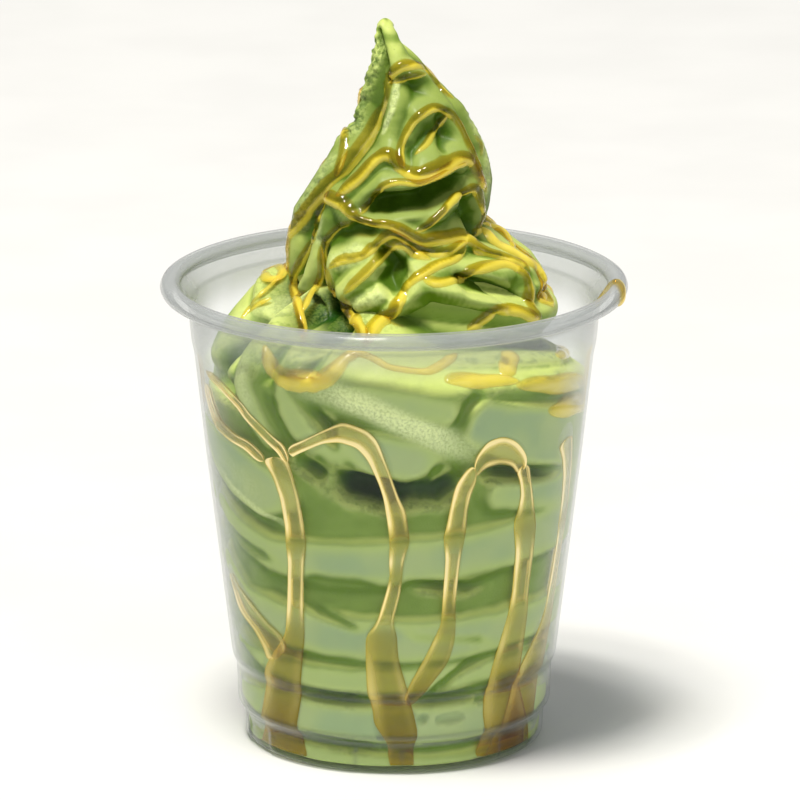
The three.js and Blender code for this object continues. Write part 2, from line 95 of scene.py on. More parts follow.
# Where the rope sags: angle from the front, height, shift, spreads.
SAGS = [(110, 60, 4, 35, 12), (-120, 50, -4, 30, 12), (170, 30, 3, 30, 12), (150, 75, 4, 40, 12),
        (-97, 95, 6, 26, 11)]

# Bulges pressed flat on the wall: pixels, half height of the flat at each (mm), roundness. One
# without a flat stays clear of the wall. Between them the ice cream lies a little behind the wall.
CLEARANCE = 0.7
SHALLOW = 1.3
PRESSED = {
    "left_post": ([(240, 356), (244, 385), (254, 412), (268, 436)], [2.2, 2.8, 2.8, 1.5], 4),
    "inner_post": ([(278, 366), (284, 394), (297, 424), (312, 446)], [1.2, 1.8, 2.0, 1.0], 3),
    "brow": ([(322, 380), (360, 394), (410, 406), (446, 412)], [0.5, 2.5, 3, 2.5], 4),
    "brow_right": ([(484, 424), (530, 434), (588, 436)], [5, 6, 6], 5),
    "belly": ([(352, 444), (380, 455), (412, 460), (436, 459)], [3, 4.6, 4.4, 2], 5),
    "belly_left": ([(290, 410), (312, 434), (340, 458)], [2.2, 2.4, 1.5], 4),
    "shoulder": ([(298, 391), (330, 396), (370, 410), (400, 425), (440, 440), (476, 453)],
        None, 3),
    "left_pad": ([(208, 430), (232, 466), (258, 486), (284, 494)], [4, 6.5, 6, 3.5], 6),
    "girdle": ([(222, 500), (240, 530), (270, 552), (330, 562), (410, 560), (470, 552), (530, 535),
         (572, 510)],
        [2, 3, 3.5, 4.5, 4.5, 4.5, 5, 5], 6),
    "right_pad": ([(500, 492), (540, 490), (576, 478)], [3, 4, 4], 5),
    "hem": ([(228, 560), (248, 600), (290, 625), (350, 636), (400, 640), (450, 638), (510, 625),
         (560, 600)],
        [2.5, 3, 4.5, 4.5, 4.5, 4.5, 4, 4], 5),
    "hem_low": ([(240, 640), (280, 668), (330, 678), (390, 680), (450, 674), (510, 664),
         (552, 645)],
        [1, 2, 2.5, 2.5, 2.5, 2, 1], 4),
    "base_roll": ([(242, 690), (290, 712), (340, 722), (400, 727), (450, 724), (500, 714),
         (546, 692)],
        [2, 4, 4, 4.5, 4.5, 4, 2], 4),
    "toe": ([(250, 735), (300, 752), (400, 766), (480, 760), (535, 740)], [1, 2, 2, 2, 1], 3),
}

# Gaps between the bulges: pixels, depth, half width (mm).
GAPS = {
    "cave": ([(336, 480), (350, 486), (374, 491), (404, 497)], 9, 2.9),
    "cave_right": ([(400, 494), (440, 492), (462, 480)], 5, 2.6),
    "cave_left": ([(298, 462), (322, 476)], 3, 1.8),
    "stripe": ([(480, 390), (470, 412), (458, 434)], 1.6, 2.0),
    "wedge": ([(312, 408), (324, 426), (336, 444)], 1.8, 1.5),
    "belly_right": ([(440, 462), (430, 478), (404, 486)], 1.2, 1.6),
    "pad_low": ([(218, 474), (236, 501), (260, 522), (292, 538)], 0.6, 1.8),
    "girdle_left": ([(222, 520), (240, 538), (262, 552), (284, 562)], 1.3, 1.2),
    "girdle_low": ([(300, 572), (340, 578), (378, 580)], 1.2, 1.3),
    "girdle_mid": ([(404, 580), (440, 585), (470, 587), (494, 580)], 2.2, 1.4),
    "hem_left": ([(304, 605), (334, 618), (358, 627), (374, 625)], 1.6, 1.1),
    "hem_right": ([(403, 628), (416, 635), (440, 637), (478, 637), (494, 641)], 1.8, 1.1),
    "right_band": ([(478, 472), (512, 473), (560, 471)], 3.5, 1.6),
    "diagonal": ([(428, 692), (452, 674), (470, 663), (490, 656)], 1.8, 1.2),
    "step_left": ([(298, 690), (330, 696), (368, 699)], 2.2, 1.4),
    "step_right": ([(414, 699), (450, 697), (480, 689)], 1.5, 1.1),
    "left_top": ([(204, 330), (206, 350), (208, 374)], 4.5, 5.0),
    "toe_line": ([(300, 733), (340, 741), (390, 746)], 1.5, 1.1),
}

# Clefts between the peak and the coils beside it, where they are seen: pixels, depth, half
# width (mm).
CLEFTS = {
    "coil_gap": ([(287, 276), (289, 300), (296, 326)], 9, 1.6),
    "block_gap": ([(312, 296), (319, 312), (328, 334)], 8, 2.6),
    "wedge_gap": ([(346, 318), (352, 334)], 3, 1.2),
}

# Frosted crests in the cup, whose frost carries painted glints: pixels, half width (mm), radius of
# the crest where it isn't the wall's, how much frost and painted glint.
FROST_AND_GLINT = {
    "shoulder": ([(300, 386), (330, 392), (366, 404), (400, 420), (440, 438), (474, 451)],
        3.0, None, 1),
    "pad_edge": ([(217, 460), (232, 484), (256, 506), (284, 524)], 0.9, None, 0.8),
    "pad": ([(214, 440), (234, 470), (264, 496)], 3.4, None, 0.4),
    "post": ([(238, 362), (243, 385), (252, 408)], 2.2, None, 0.7),
    "coil": ([(232, 330), (242, 300), (262, 276), (280, 266)], 3.5, 34.0, 0.25),
    "coil_front": ([(244, 345), (262, 318), (276, 302)], 2.5, 31.0, 0.25),
}

# Crests of the peak's folds: pixels, height over the outline at each (mm), roundness.
FOLDS = {
    "torn_edge": ([(381, 26), (373, 62), (361, 98), (352, 128)], [0.2, 0.2, 0.2, -0.2], 2.2),
    "left_edge": ([(346, 132), (330, 160), (306, 195), (293, 225), (290, 262), (297, 300),
         (306, 335)],
        [0.3, 0.4, 0.3, 0.2, 0.2, -0.5, -1], 3.2),
    "left_inner": ([(356, 118), (344, 150), (322, 182), (302, 208)], [-1, -0.8, -0.6, -0.6], 2.2),
    "spine": ([(392, 36), (396, 76), (394, 110), (388, 140), (387, 153)],
        [0.3, 0.3, 0.2, 0.2, 0.6], 2.6),
    "spine_left": ([(387, 153), (370, 168), (350, 190), (338, 200)], [0.6, 0.8, 0.8, 0.5], 2.2),
    "spine_right": ([(387, 153), (402, 166), (420, 176)], [0.6, 0.3, 0.3], 1.8),
    "drape_left": ([(334, 205), (322, 235), (311, 268), (300, 300), (308, 335)],
        [-0.2, -0.2, -0.2, -0.3, -0.3], 2.4),
    "brow_high": ([(404, 66), (428, 82), (450, 112), (466, 148)], [0.2, 0.3, 0.3, 0.4], 2.6),
    "brow_side": ([(470, 155), (478, 180), (480, 205), (478, 228)], [0.4, 0.4, 0.2, 0], 2.6),
    "dome": ([(418, 118), (442, 108)], [0.3, 0.5], 2),
    "dome_left": ([(418, 118), (408, 135), (403, 150)], [0.2, 0.2, 0], 1.6),
    "dome_right": ([(440, 112), (458, 132), (468, 150)], [0.2, 0.5, 0.3], 2.2),
    "shelf": ([(420, 172), (440, 164), (466, 153)], [1.2, 1.3, 1], 2.4),
    "lip": ([(352, 208), (366, 196), (382, 184), (412, 186), (440, 174), (466, 160)],
        [0.6, 1, 1.4, 1.6, 1.4, 0.8], 1.7),
    "behind_right": ([(462, 108), (484, 148), (490, 185), (483, 218)], [0.4, 0.2, 0, 0], 3),
    "chin_fold": ([(474, 184), (452, 200), (440, 214), (416, 230)], [0.4, 1, 1, 0.6], 2),
    "tongue": ([(382, 219), (404, 214), (424, 219)], [-0.3, 0.9, 0.4], 2),
    "hood_left": ([(330, 197), (348, 214), (376, 222), (398, 231)], [0.4, 0.8, 1, 1], 1.8),
    "hood": ([(398, 231), (420, 240), (442, 243), (468, 241), (490, 252), (515, 261), (531, 274)],
        [1.4, 1.8, 1.8, 1.4, 1.4, 1, 0.4], 1.7),
    "block_high": ([(396, 234), (372, 247), (356, 257), (334, 266), (328, 284)],
        [1, 1.5, 1.6, 1.2, 0.6], 2),
    "block_low": ([(402, 243), (382, 256), (360, 278), (345, 294), (348, 312), (362, 332)],
        [1.4, 2, 2.2, 1.8, 1.3, 1], 1.6),
    "wedge": ([(448, 262), (428, 269), (410, 286), (398, 304), (376, 326)],
        [1.4, 2, 2.4, 2, 1.4], 1.7),
    "wedge_shelf": ([(428, 282), (450, 289), (475, 298), (500, 309), (518, 318)],
        [2.2, 2, 1.6, 1.2, 0.8], 1.8),
    "lit_patch": ([(388, 292), (374, 298), (360, 308)], [1.6, 2, 1.4], 1.8),
    "shoulder": ([(448, 264), (480, 268), (508, 266), (526, 280), (530, 300), (540, 320)],
        [1, 1.4, 1.4, 1, 0.6, 0.2], 2),
    "skirt": ([(466, 332), (490, 316), (510, 310), (534, 316)], [0.2, 0.9, 0.8, 0.3], 2.0),
    "back_right": ([(476, 234), (500, 240), (524, 256), (542, 276), (544, 300)],
        [0, 0.2, 0.3, 0.3, 0], 2.6),
    "side_left": ([(290, 252), (284, 275), (292, 300), (296, 330)], [-1, -0.6, -0.5, -0.5], 2.4),
}
BACK_FOLDS = 5
BACK_START = 25.0
BACK_SPACING = 32.0
BACK_DRAPE = [(0, 147.8), (-8, 135.8), (-18, 123.8), (-30, 111.8), (-44, 99.8)]
BACK_LIFT = [-1.4, -0.3, 0.3, 0.4, 0.5]
BACK_ROUNDNESS = 3.2

# Valleys and hollows of the peak: pixels, depth, half width (mm).
HOLLOWS = {
    "tip_cleft": ([(378, 34), (381, 48), (385, 66), (387, 84)], 1.7, 0.8),
    "channel": ([(386, 84), (376, 120), (356, 158), (334, 184), (312, 210), (298, 232)], 1, 1.5),
    "cave": ([(376, 206), (400, 205), (428, 199), (456, 186)], 5.5, 2.3),
    "cave_left": ([(356, 226), (372, 231)], 2, 1.2),
    "dome_cleft": ([(444, 122), (450, 136), (446, 150)], 2.6, 1.8),
    "under_river": ([(399, 86), (412, 90), (428, 88)], 1.2, 1.8),
    "shelf_gap": ([(408, 150), (412, 166)], 0.8, 1.3),
    "throat": ([(464, 198), (474, 216), (474, 236)], 2, 1.3),
    "block_pit": ([(392, 260), (398, 271), (394, 284)], 3.8, 2.4),
    "wedge_foot": ([(392, 322), (410, 326)], 1.8, 1.4),
    "shoulder_pit": ([(466, 284), (495, 290), (515, 300), (520, 310)], 3.2, 1.9),
    "wedge_wall": ([(404, 322), (436, 314), (466, 322)], 1.2, 2.6),
    "hood_crease": ([(470, 252), (500, 258)], 1, 1),
    "left_crease": ([(322, 248), (322, 272), (316, 296), (322, 325)], 1.8, 1.3),
    "side_crease": ([(297, 270), (292, 296)], 1.6, 1.2),
}

# Places where the piped edge tore: pixels, half width (mm), how strongly, how much frost and
# painted glint.
TORN = {
    "edge": ([(376, 46), (368, 76), (360, 102), (352, 128)], 2.4, 1.2, 0.1),
    "edge_low": ([(354, 108), (348, 122), (340, 136)], 2.2, 0.8, 0.1),
    "spine": ([(396, 86), (393, 104), (388, 120), (383, 132)], 0.8, 0.9, 0.45),
    "left": ([(330, 162), (308, 195), (296, 225)], 1.8, 0.6, 0.2),
    "block": ([(340, 262), (362, 250)], 1.6, 0.5, 0.35),
    "wedge": ([(352, 306), (366, 300), (380, 294)], 1.5, 0.5, 0.35),
    "right": ([(474, 118), (486, 150), (488, 190)], 1.8, 0.5, 0.3),
    "low": ([(318, 222), (316, 240)], 1.2, 0.5, 0.3),
}

# Honey on the peak: pixels, half width at each end or point (mm), height (mm).
STRANDS = {
    "side_drop": ([(345, 128), (344, 153), (336, 178)], [0.8, 0.8], 0.6),
    "river": ([(454, 100), (443, 94), (431, 75), (418, 66), (401, 67), (389, 78), (388, 100),
         (370, 135), (338, 178), (326, 187), (315, 200), (296, 224), (288, 238), (286, 251),
         (287, 262), (291, 274)],
        [0.6, 0.6, 0.7, 0.9, 0.9, 1.0, 1.0, 1.2, 1.5, 1.5, 1.4, 1.2, 1.0, 1, 1, 0.9], 0.6),
    "river_edge": ([(393, 84), (410, 78), (426, 75)], [0.6, 0.6], 0.5),
    "left_drop": ([(326, 199), (322, 210), (319, 224), (314, 242), (301, 262), (293, 276),
         (293, 288), (298, 301), (301, 314), (304, 324), (305, 340)],
        [0.8, 0.8, 0.6, 0.6], 0.6),
    "left_drop_inner": ([(321, 246), (322, 267), (321, 281), (310, 295), (303, 312)],
        [0.6, 0.6], 0.5),
    "right_hook": ([(474, 136), (482, 145), (480, 157)], [0.6, 0.6], 0.5),
    "dome_arch": ([(486, 193), (475, 161), (464, 136), (454, 117), (441, 109), (431, 109),
         (414, 121), (405, 136), (399, 153), (403, 170)],
        [0.8, 0.8], 0.65),
    "dome_middle": ([(448, 115), (435, 128), (427, 145), (414, 157)], [0.6, 0.7], 0.5),
    "shelf_run": ([(336, 197), (359, 178), (374, 161), (386, 153), (395, 159), (401, 170),
         (418, 178), (435, 172), (450, 164), (462, 157), (471, 161), (477, 174), (484, 190)],
        [1.0, 1.3, 1.2, 1.3, 1.2, 1.2, 1.5, 1.6, 1.5, 1.2, 1, 0.9, 0.9], 0.8),
    "lip_run": ([(359, 216), (368, 204), (382, 187), (393, 183), (406, 183), (418, 186),
         (435, 178), (454, 166), (470, 160)],
        [0.7, 0.8], 0.6),
    "chin_run": ([(414, 233), (426, 227), (443, 212), (456, 197), (471, 187), (479, 193),
         (483, 212), (479, 225), (473, 237)],
        [0.8, 0.9], 0.7),
    "hood_run": ([(326, 196), (336, 201), (344, 203), (350, 211), (354, 217), (364, 221),
         (375, 224), (391, 225), (403, 231), (415, 238), (422, 242), (432, 239), (446, 238),
         (460, 235), (468, 239), (476, 246), (488, 252), (504, 258), (515, 261), (525, 265),
         (529, 273)],
        [1.2, 1.1, 1.0, 1.1, 1.2, 1.1, 1], 0.75),
    "left_loop": ([(356, 221), (343, 225), (333, 232), (326, 242), (323, 253), (328, 274),
         (332, 285), (336, 297)],
        [0.6, 0.6], 0.5),
    "block_high_run": ([(329, 269), (336, 262), (347, 258), (359, 258), (367, 253), (378, 243),
         (387, 235), (395, 232), (415, 246), (424, 252), (437, 255), (448, 252), (461, 243),
         (468, 242)],
        [0.8, 0.9, 0.8], 0.65),
    "block_low_run": ([(344, 294), (350, 287), (361, 277), (373, 266), (382, 255), (392, 245),
         (401, 243), (409, 249), (419, 256), (431, 260)],
        [0.8, 0.9, 0.8], 0.6),
    "block_leg": ([(342, 294), (346, 307), (356, 319), (363, 330), (366, 346)], [0.8, 0.9], 0.6),
    "wedge_run": ([(368, 344), (372, 328), (381, 319), (392, 314), (401, 298), (406, 286),
         (416, 277), (422, 274), (434, 266), (442, 263), (454, 260), (459, 256), (465, 246)],
        [1.2, 1.2, 1.2, 1.1, 0.9, 0.8, 0.7, 0.7], 0.8),
    "shoulder_run": ([(422, 276), (430, 282), (440, 283), (448, 281), (458, 279), (465, 273),
         (479, 268), (490, 265), (502, 263), (513, 266), (521, 271), (527, 278), (529, 288),
         (528, 296), (529, 305), (535, 313), (540, 319)],
        [1.0, 0.9, 1.0, 1.0, 1.1], 0.7),
    "right_drop": ([(482, 222), (490, 226), (499, 228), (505, 231), (510, 239), (513, 250)],
        [0.7, 0.7], 0.6),
    "right_edge": ([(482, 227), (490, 239), (500, 248), (512, 253), (523, 259), (534, 265),
         (541, 273), (544, 278), (541, 288)],
        [1.0, 1.3, 1.4, 1.1], 0.9),
    "skirt_run": ([(466, 329), (476, 323), (485, 317), (491, 310), (499, 307), (511, 309),
         (521, 311), (531, 316), (538, 319)],
        [0.9, 1.0], 0.7),
    "coil_run": ([(244, 316), (259, 303), (272, 298)], [0.5, 0.6], 0.45),
    "coil_ring": ([(263, 273), (264, 267), (272, 263), (280, 265), (284, 271), (280, 278),
         (271, 280), (264, 277), (263, 272)],
        [0.8, 0.8], 0.4),
    "coil_line": ([(290, 262), (276, 280), (258, 297), (246, 312), (240, 322)], [0.3, 0.5], 0.35),
    "ledge_loop": ([(266, 344), (270, 360), (282, 376), (298, 380), (318, 381), (334, 370),
         (347, 355), (362, 350)],
        [0.9, 1.1, 1.6, 1.8, 1.7, 1.2, 0.9], 0.6),
    "ledge_line": ([(344, 355), (358, 351), (374, 357), (388, 366), (408, 369), (428, 371),
         (444, 362), (456, 352)],
        [0.8, 0.6, 0.6, 0.8], 0.5),
    "ledge_link": ([(510, 350), (508, 362), (502, 376)], [1.3, 1.5], 0.6),
}
# Strands that the light shines through from behind or that lie level, and by how much.
BRIGHT = {
    "right_edge": 0.6, "skirt_run": 0.3, "right_drop": 0.3, "coil_ring": 0.2, "ledge_loop": 0.45,
    "ledge_line": 0.35, "ledge_link": 0.45,
}
# The strands that are repeated behind, turned by this angle and moved by this height (mm).
BEHIND = {
    "river": (176, -4), "dome_arch": (168, -3), "shelf_run": (158, -9), "hood_run": (172, -4),
    "wedge_run": (214, 2), "block_high_run": (150, 2), "left_drop": (150, -2),
    "lip_run": (206, -6),
}

# Pools of honey on the ledge: middle and half sizes in pixels, height (mm).
POOLS = {
    "ledge_loop": ((308, 375), (22, 8), 0.6),
    "ledge_middle": ((478, 379), (33, 9), 0.7),
    "ledge_right": ((553, 383), (31, 12), 0.7),
    "ledge_edge": ((568, 405), (18, 13), 0.6),
    "ledge_high": ((566, 351), (13, 7), 0.6),
}

# Honey runs on the inside of the wall: left bank and right bank in pixels, and how filled the run
# is at points along it (0 is a clear film between two beads, 1 is solid honey).
RUNS = {
    "left_high": ([(205, 371), (221, 388), (238, 406), (246, 418), (257, 429), (268, 441),
         (279, 451), (285, 461)],
        [(210, 369), (226, 384), (244, 402), (252, 413), (263, 423), (273, 433), (285, 443),
         (292, 460)],
        [1, 0.4, 0, 0, 0.5, 0.3, 0, 0]),
    "left_hole": ([(204, 384), (208, 404), (216, 426), (231, 440), (246, 448), (262, 463)],
        [(209, 382), (214, 402), (222, 420), (236, 433), (251, 440), (268, 456)],
        [0.3, 0, 0.8, 0.5, 0, 0]),
    "left": ([(263, 455), (274, 475), (281, 495), (286, 524), (287, 543), (289, 561), (288, 599),
         (286, 634), (265, 667), (265, 693), (265, 728), (261, 757)],
        [(288, 455), (294, 472), (301, 497), (305, 524), (307, 543), (305, 561), (304, 599),
         (305, 634), (302, 667), (302, 693), (296, 728), (312, 766)],
        [0, 0, 0, 0.1, 0.9, 0, 0, 0.9, 0.6, 0.5, 0.7, 1]),
    "left_slant": ([(229, 574), (230, 578), (238, 609), (254, 629), (264, 648), (268, 664)],
        [(233, 573), (236, 582), (253, 604), (269, 623), (281, 632), (290, 650)], [0.3, 0.4]),
    "middle": ([(293, 456), (297, 453), (324, 441), (340, 440), (357, 445), (368, 457), (379, 481),
         (384, 497), (388, 524), (390, 539), (389, 560), (390, 574), (386, 590), (377, 620),
         (366, 634), (366, 656), (367, 690), (373, 709), (374, 722), (388, 741), (389, 772)],
        [(287, 445), (304, 438), (324, 428), (344, 419), (368, 428), (378, 438), (388, 464),
         (399, 495), (406, 508), (410, 539), (404, 556), (402, 574), (401, 590), (393, 620),
         (397, 634), (398, 656), (408, 690), (412, 706), (418, 731), (413, 749), (414, 772)],
        [0.2, 0, 0, 0, 0, 0, 0, 0, 0.3, 1, 0.2, 0.9, 0, 0, 1, 0.7, 0.4, 0.6, 0.6, 0.8, 1]),
    "right_arch": ([(472, 463), (478, 450), (487, 439), (502, 434), (515, 439), (524, 450),
         (528, 463)],
        [(476, 477), (480, 470), (487, 465), (499, 462), (510, 464), (514, 468), (516, 474)],
        [0, 0, 0, 0, 0]),
    "right_inner": ([(472, 459), (455, 482), (449, 508), (446, 524), (443, 535), (445, 555),
         (444, 572), (442, 602), (441, 622), (432, 640), (425, 655), (409, 683), (402, 700)],
        [(478, 474), (470, 493), (467, 508), (466, 522), (464, 535), (460, 555), (458, 572),
         (455, 602), (455, 622), (454, 640), (448, 660), (428, 686), (412, 706)],
        [0, 0, 0, 0.2, 1, 0, 0, 0.6, 1, 0.5, 0.6, 0.7, 0.5]),
    "right_outer": ([(515, 468), (519, 480), (520, 493), (517, 510), (513, 522), (515, 550),
         (512, 591), (508, 612), (498, 645), (490, 672), (482, 710), (482, 736), (471, 762)],
        [(528, 460), (530, 478), (532, 493), (534, 512), (535, 524), (533, 550), (528, 591),
         (527, 612), (523, 645), (519, 672), (525, 710), (525, 736), (517, 766)],
        [0, 0, 0, 0.6, 1, 0.2, 0.3, 0.8, 0.5, 0.7, 0.5, 0.7, 1]),
}
# Runs on the sides and behind: the run that is repeated and the angle that it is turned by.
RUNS_BEHIND = [("middle", 150), ("right_outer", 190), ("left", 232), ("right_inner", 118),
               ("left", 104)]
ALL_RUNS = [(name, 0) for name in RUNS] + RUNS_BEHIND
# Thin runs at the sides: angle, from height, to height (mm).
SIDE_RUNS = [(-6.0, 86.0, 70.0), (-174.5, 84.0, 73.0)]
# The drip over the rim: angle and place round the bead (degrees), half width (mm).
DRIP_PATH = [(-21, 190), (-13, 160), (-7, 130), (-5, 100), (-8, 70), (-12, 35), (-15, 0),
             (-17, -30)]
DRIP_HALF = [0.7, 0.9, 1.0, 1.1, 1.2, 1.1, 1.0, 0.7]

# Bubbles between the ice cream and the wall: pixels, half sizes in pixels.
BUBBLES = [((423, 717), (5.5, 5)), ((450, 717), (15, 6)), ((348, 748), (7, 4)),
           ((330, 600), (5, 3)), ((560, 560), (4, 5)), ((480, 700), (6, 3))]
BUBBLE_DEPTH = 1.2


# ---------------------------------------------------------------- small sums

def smooth_step(x, low=0.0, high=1.0):
    """0 below low, 1 above high and a smooth S between them."""
    k = np.clip((np.asarray(x, float) - low) / (high - low), 0, 1)
    return k * k * (3 - 2 * k)


def turned(degrees):
    """The same angle between -180 and 180."""
    return (degrees + 180) % 360 - 180


def soft_max(a, b, blend):
    """The larger of two surfaces, with their meeting filled in over about the blend given."""
    return np.maximum(a, b) + blend * np.log1p(np.exp(-np.abs(a - b) / blend))


def unit(v):
    """Vectors of length 1."""
    return v / np.maximum(np.linalg.norm(v, axis=-1, keepdims=True), 1e-9)


def middle(z):
    """How far the leaning axis of the ice cream lies to the right at a height."""
    return np.interp(z, OUTLINE_Z, OUTLINE_X) * smooth_step(z, 82, 96)


def upright(z):
    """The same for the cup's own axis."""
    return 0 * z


def reach(z):
    """Radius of the peak's outline at a height."""
    return np.interp(z, OUTLINE_Z, OUTLINE_R)


def inside_wall(z):
    """Radius of the inside of the cup's wall at a height."""
    return np.interp(z, WALL_Z, WALL_R) - WALL


def at_wall(z):
    """The one radius at which the wall is unrolled."""
    return WALL_UNROLLED


def round_about(angle, radius, z, axis=0.0):
    """Points at angles (degrees), radii and heights round an axis that lies so far to the right."""
    a = np.radians(angle)
    return np.stack(np.broadcast_arrays(axis + radius * np.cos(a), radius * np.sin(a), z), -1)


def from_axis(p):
    """Angle (degrees), height and distance of points as seen from the leaning axis."""
    dx = p[..., 0] - middle(p[..., 2])
    return np.degrees(np.arctan2(p[..., 1], dx)), p[..., 2], np.hypot(dx, p[..., 1])


LATTICE = np.random.default_rng(11).random((32, 32, 32)) * 2 - 1


def clumps(points, size, shift=0.0):
    """Soft random bumps between -1 and 1, about size apart: random numbers on a lattice, blended
    smoothly between its corners."""
    p = np.asarray(points) / size + 7.3 + shift
    base = np.floor(p).astype(int)
    f = p - base
    f = f * f * (3 - 2 * f)
    total = 0.0
    for corner in np.ndindex(2, 2, 2):
        weight = np.prod(np.where(corner, f, 1 - f), axis=-1)
        i, j, k = np.moveaxis((base + corner) % 32, -1, 0)
        total = total + weight * LATTICE[i, j, k]
    return total


def resample(points, step, *more):
    """Even steps along a path, with the values given at its points or evenly along it."""
    points = np.asarray(points, float)
    s = np.concatenate([[0], np.cumsum(np.linalg.norm(np.diff(points, axis=0), axis=1))])
    t = np.linspace(0, s[-1], max(3, int(s[-1] / step) + 1))
    columns = [np.interp(t, s, column) for column in points.T]
    extra = [np.interp(t, s if len(m) == len(s) else np.linspace(0, s[-1], len(m)), m)
             for m in more]
    return (np.stack(columns, -1), *extra)


def eased(points, width):
    """A path with its corners rounded: each point is the average of its neighbours, weighted by a
    bell curve of the width given in steps. The ends stay where they are."""
    n = int(3 * width)
    if len(points) <= n + 1:
        return points
    bell = np.exp(-0.5 * (np.arange(-n, n + 1) / width) ** 2)
    padded = np.concatenate([2 * points[:1] - points[n:0:-1], points,
                             2 * points[-1:] - points[-2:-n - 2:-1]])
    return np.stack([np.convolve(c, bell / bell.sum(), "valid") for c in padded.T], -1)


# ---------------------------------------------------------------- tables of radius
# A surface is a table of its radius at every height (row) and angle (column).

ANGLE_STEP = 0.25
LEVEL_STEP = 0.125
ANGLES = np.arange(0, 360, ANGLE_STEP)
LEVELS = np.arange(FOOT_RECESS + WALL - 0.1, PEAK_HEIGHT + LEVEL_STEP / 2, LEVEL_STEP)
HEIGHTS = LEVELS[:, None]
FROM_FRONT = turned(ANGLES - 270)
REACH = 12.0                           # nothing is drawn farther than this from its path (mm)
LEAST_RADIUS = 0.3                     # of any surface (mm)
STUB_RADIUS = 0.28                     # the peak's below its base, hidden in the rope (mm)
CONTACT = 0.06                         # the ice cream reaches so far into the wall (mm)
HONEY_ROOM = 0.35                      # it keeps so far from the wall under honey (mm)


def cast(pixels, radius_at, axis_at):
    """Angle and height at which the view rays of the pixels meet a round body of radius
    radius_at(z) about the axis x = axis_at(z)."""
    u, v = np.asarray(pixels, float).T
    x, up = (u - RIM_PIXEL[0]) / PIXELS_PER_MM, (RIM_PIXEL[1] - v) / PIXELS_PER_MM
    z = RIM_LEVEL + up / np.cos(VIEW_TILT)
    for _ in range(30):
        r = radius_at(z)
        dx = np.clip(x - axis_at(z), -0.999 * r, 0.999 * r)
        y = -np.sqrt(r * r - dx * dx)
        z = (z + RIM_LEVEL + (up - y * np.sin(VIEW_TILT)) / np.cos(VIEW_TILT)) / 2
    return np.unwrap(np.degrees(np.arctan2(y, dx)), period=360), z


def steps_along(angle, z, unrolled, step, *values):
    """Even steps of a path on the surface unrolled at the radius given: angle, height, values."""
    flat, *more = resample(np.stack([np.radians(angle) * unrolled, z], -1), step, *values)
    return [np.degrees(flat[:, 0] / unrolled), flat[:, 1], *more]


def drawn(steps, unrolled, shape, empty=0.0):
    """A table with the largest shape(squared distance, *values) of any step (angle, height,
    *values) near a place, and the empty value where none is near. The distance (mm) is taken on
    the surface unrolled at the radius unrolled(z)."""
    table = np.full((len(LEVELS), len(ANGLES)), empty)
    for angle, level, *values in zip(*steps):
        scale = np.radians(max(unrolled(level), 3.0))
        rows = np.flatnonzero(np.abs(LEVELS - level) < REACH)
        columns = np.flatnonzero(np.abs(turned(ANGLES - angle)) * scale < REACH)
        aside, above = turned(ANGLES[columns] - angle) * scale, HEIGHTS[rows] - level
        part = np.ix_(rows, columns)
        table[part] = np.maximum(table[part], shape(aside ** 2 + above ** 2, *values))
    return table


def ridge(steps, unrolled, roundness, depth=None):
    """A ridge that reaches its lift at the crest and falls off as a parabola, or, where a depth is
    given, as a bell that levels out at that depth, so that the valleys beside it are hollow."""
    def height(squared, lift):
        fall = squared / (2 * roundness)
        return lift - (depth * (1 - np.exp(-fall / depth)) if depth else fall)
    return drawn(steps, unrolled, height, -60.0)


def near_path(pixels, width, power=2, radius_at=reach, axis_at=middle, ends=1.0):
    """1 on a path over the peak, or another round body, and 0 away from it, falling off as a bell
    of the half width given; a higher power gives it a flat middle and steep sides. At its ends it
    is only as strong as given."""
    steps = steps_along(*cast(pixels, radius_at, axis_at), PEAK_UNROLLED, min(0.8, 0.3 * width),
                        [ends, 1, 1, 1, ends])
    return drawn(steps, radius_at, lambda squared, much:
                 much * np.exp(-(squared / width ** 2) ** (power / 2)))


def piped_rope():
    """Radius of the rope that was piped into the cup. Each turn is a half ellipse about its path,
    lower as it winds to the right, with soft lobes round it; the turns blend into each other."""
    level = HEIGHTS - np.sin(np.radians(3 * ANGLES + 40) + 0.11 * HEIGHTS)
    for at, height, shift, across, up in SAGS:
        level = level - shift * np.exp(-(turned(FROM_FRONT - at) / across) ** 2
                                       - ((HEIGHTS - height) / up) ** 2)
    best = np.full(level.shape, -50.0)
    for k in range(-1, 8):
        t = k - FROM_FRONT / 360
        path, thickness = np.interp(t, TURN, TURN_PATH), np.interp(t, TURN, TURN_THICKNESS)
        dz = level - np.interp(t, TURN, TURN_Z)
        q = np.clip(np.abs(dz) / thickness, 0, 0.995)
        lobe = np.abs(np.cos(ROPE_LOBES / 2 * np.arcsin(np.clip(dz / thickness, -1, 1))
                             + 0.6 * k + np.radians(0.8 * FROM_FRONT)))
        value = path + thickness * np.sqrt(1 - q * q) \
            - 4 * np.maximum(np.abs(dz) - thickness, 0) + LOBE_HEIGHT * (lobe - 0.75)
        best = soft_max(best, value, 0.35)
    return best


def pressed_bulges():
    """Radius of the bulges that were pressed on the wall in front: ridges about the wall itself."""
    total = -50.0
    for pixels, half, roundness in PRESSED.values():
        steps = steps_along(*cast(pixels, inside_wall, upright), WALL_UNROLLED, 1.2, half or [0])
        steps[2] = steps[2] ** 2 / (2 * roundness) if half else steps[2] - CLEARANCE
        total = soft_max(total, inside_wall(HEIGHTS) + ridge(steps, at_wall, roundness), 0.3)
    return total


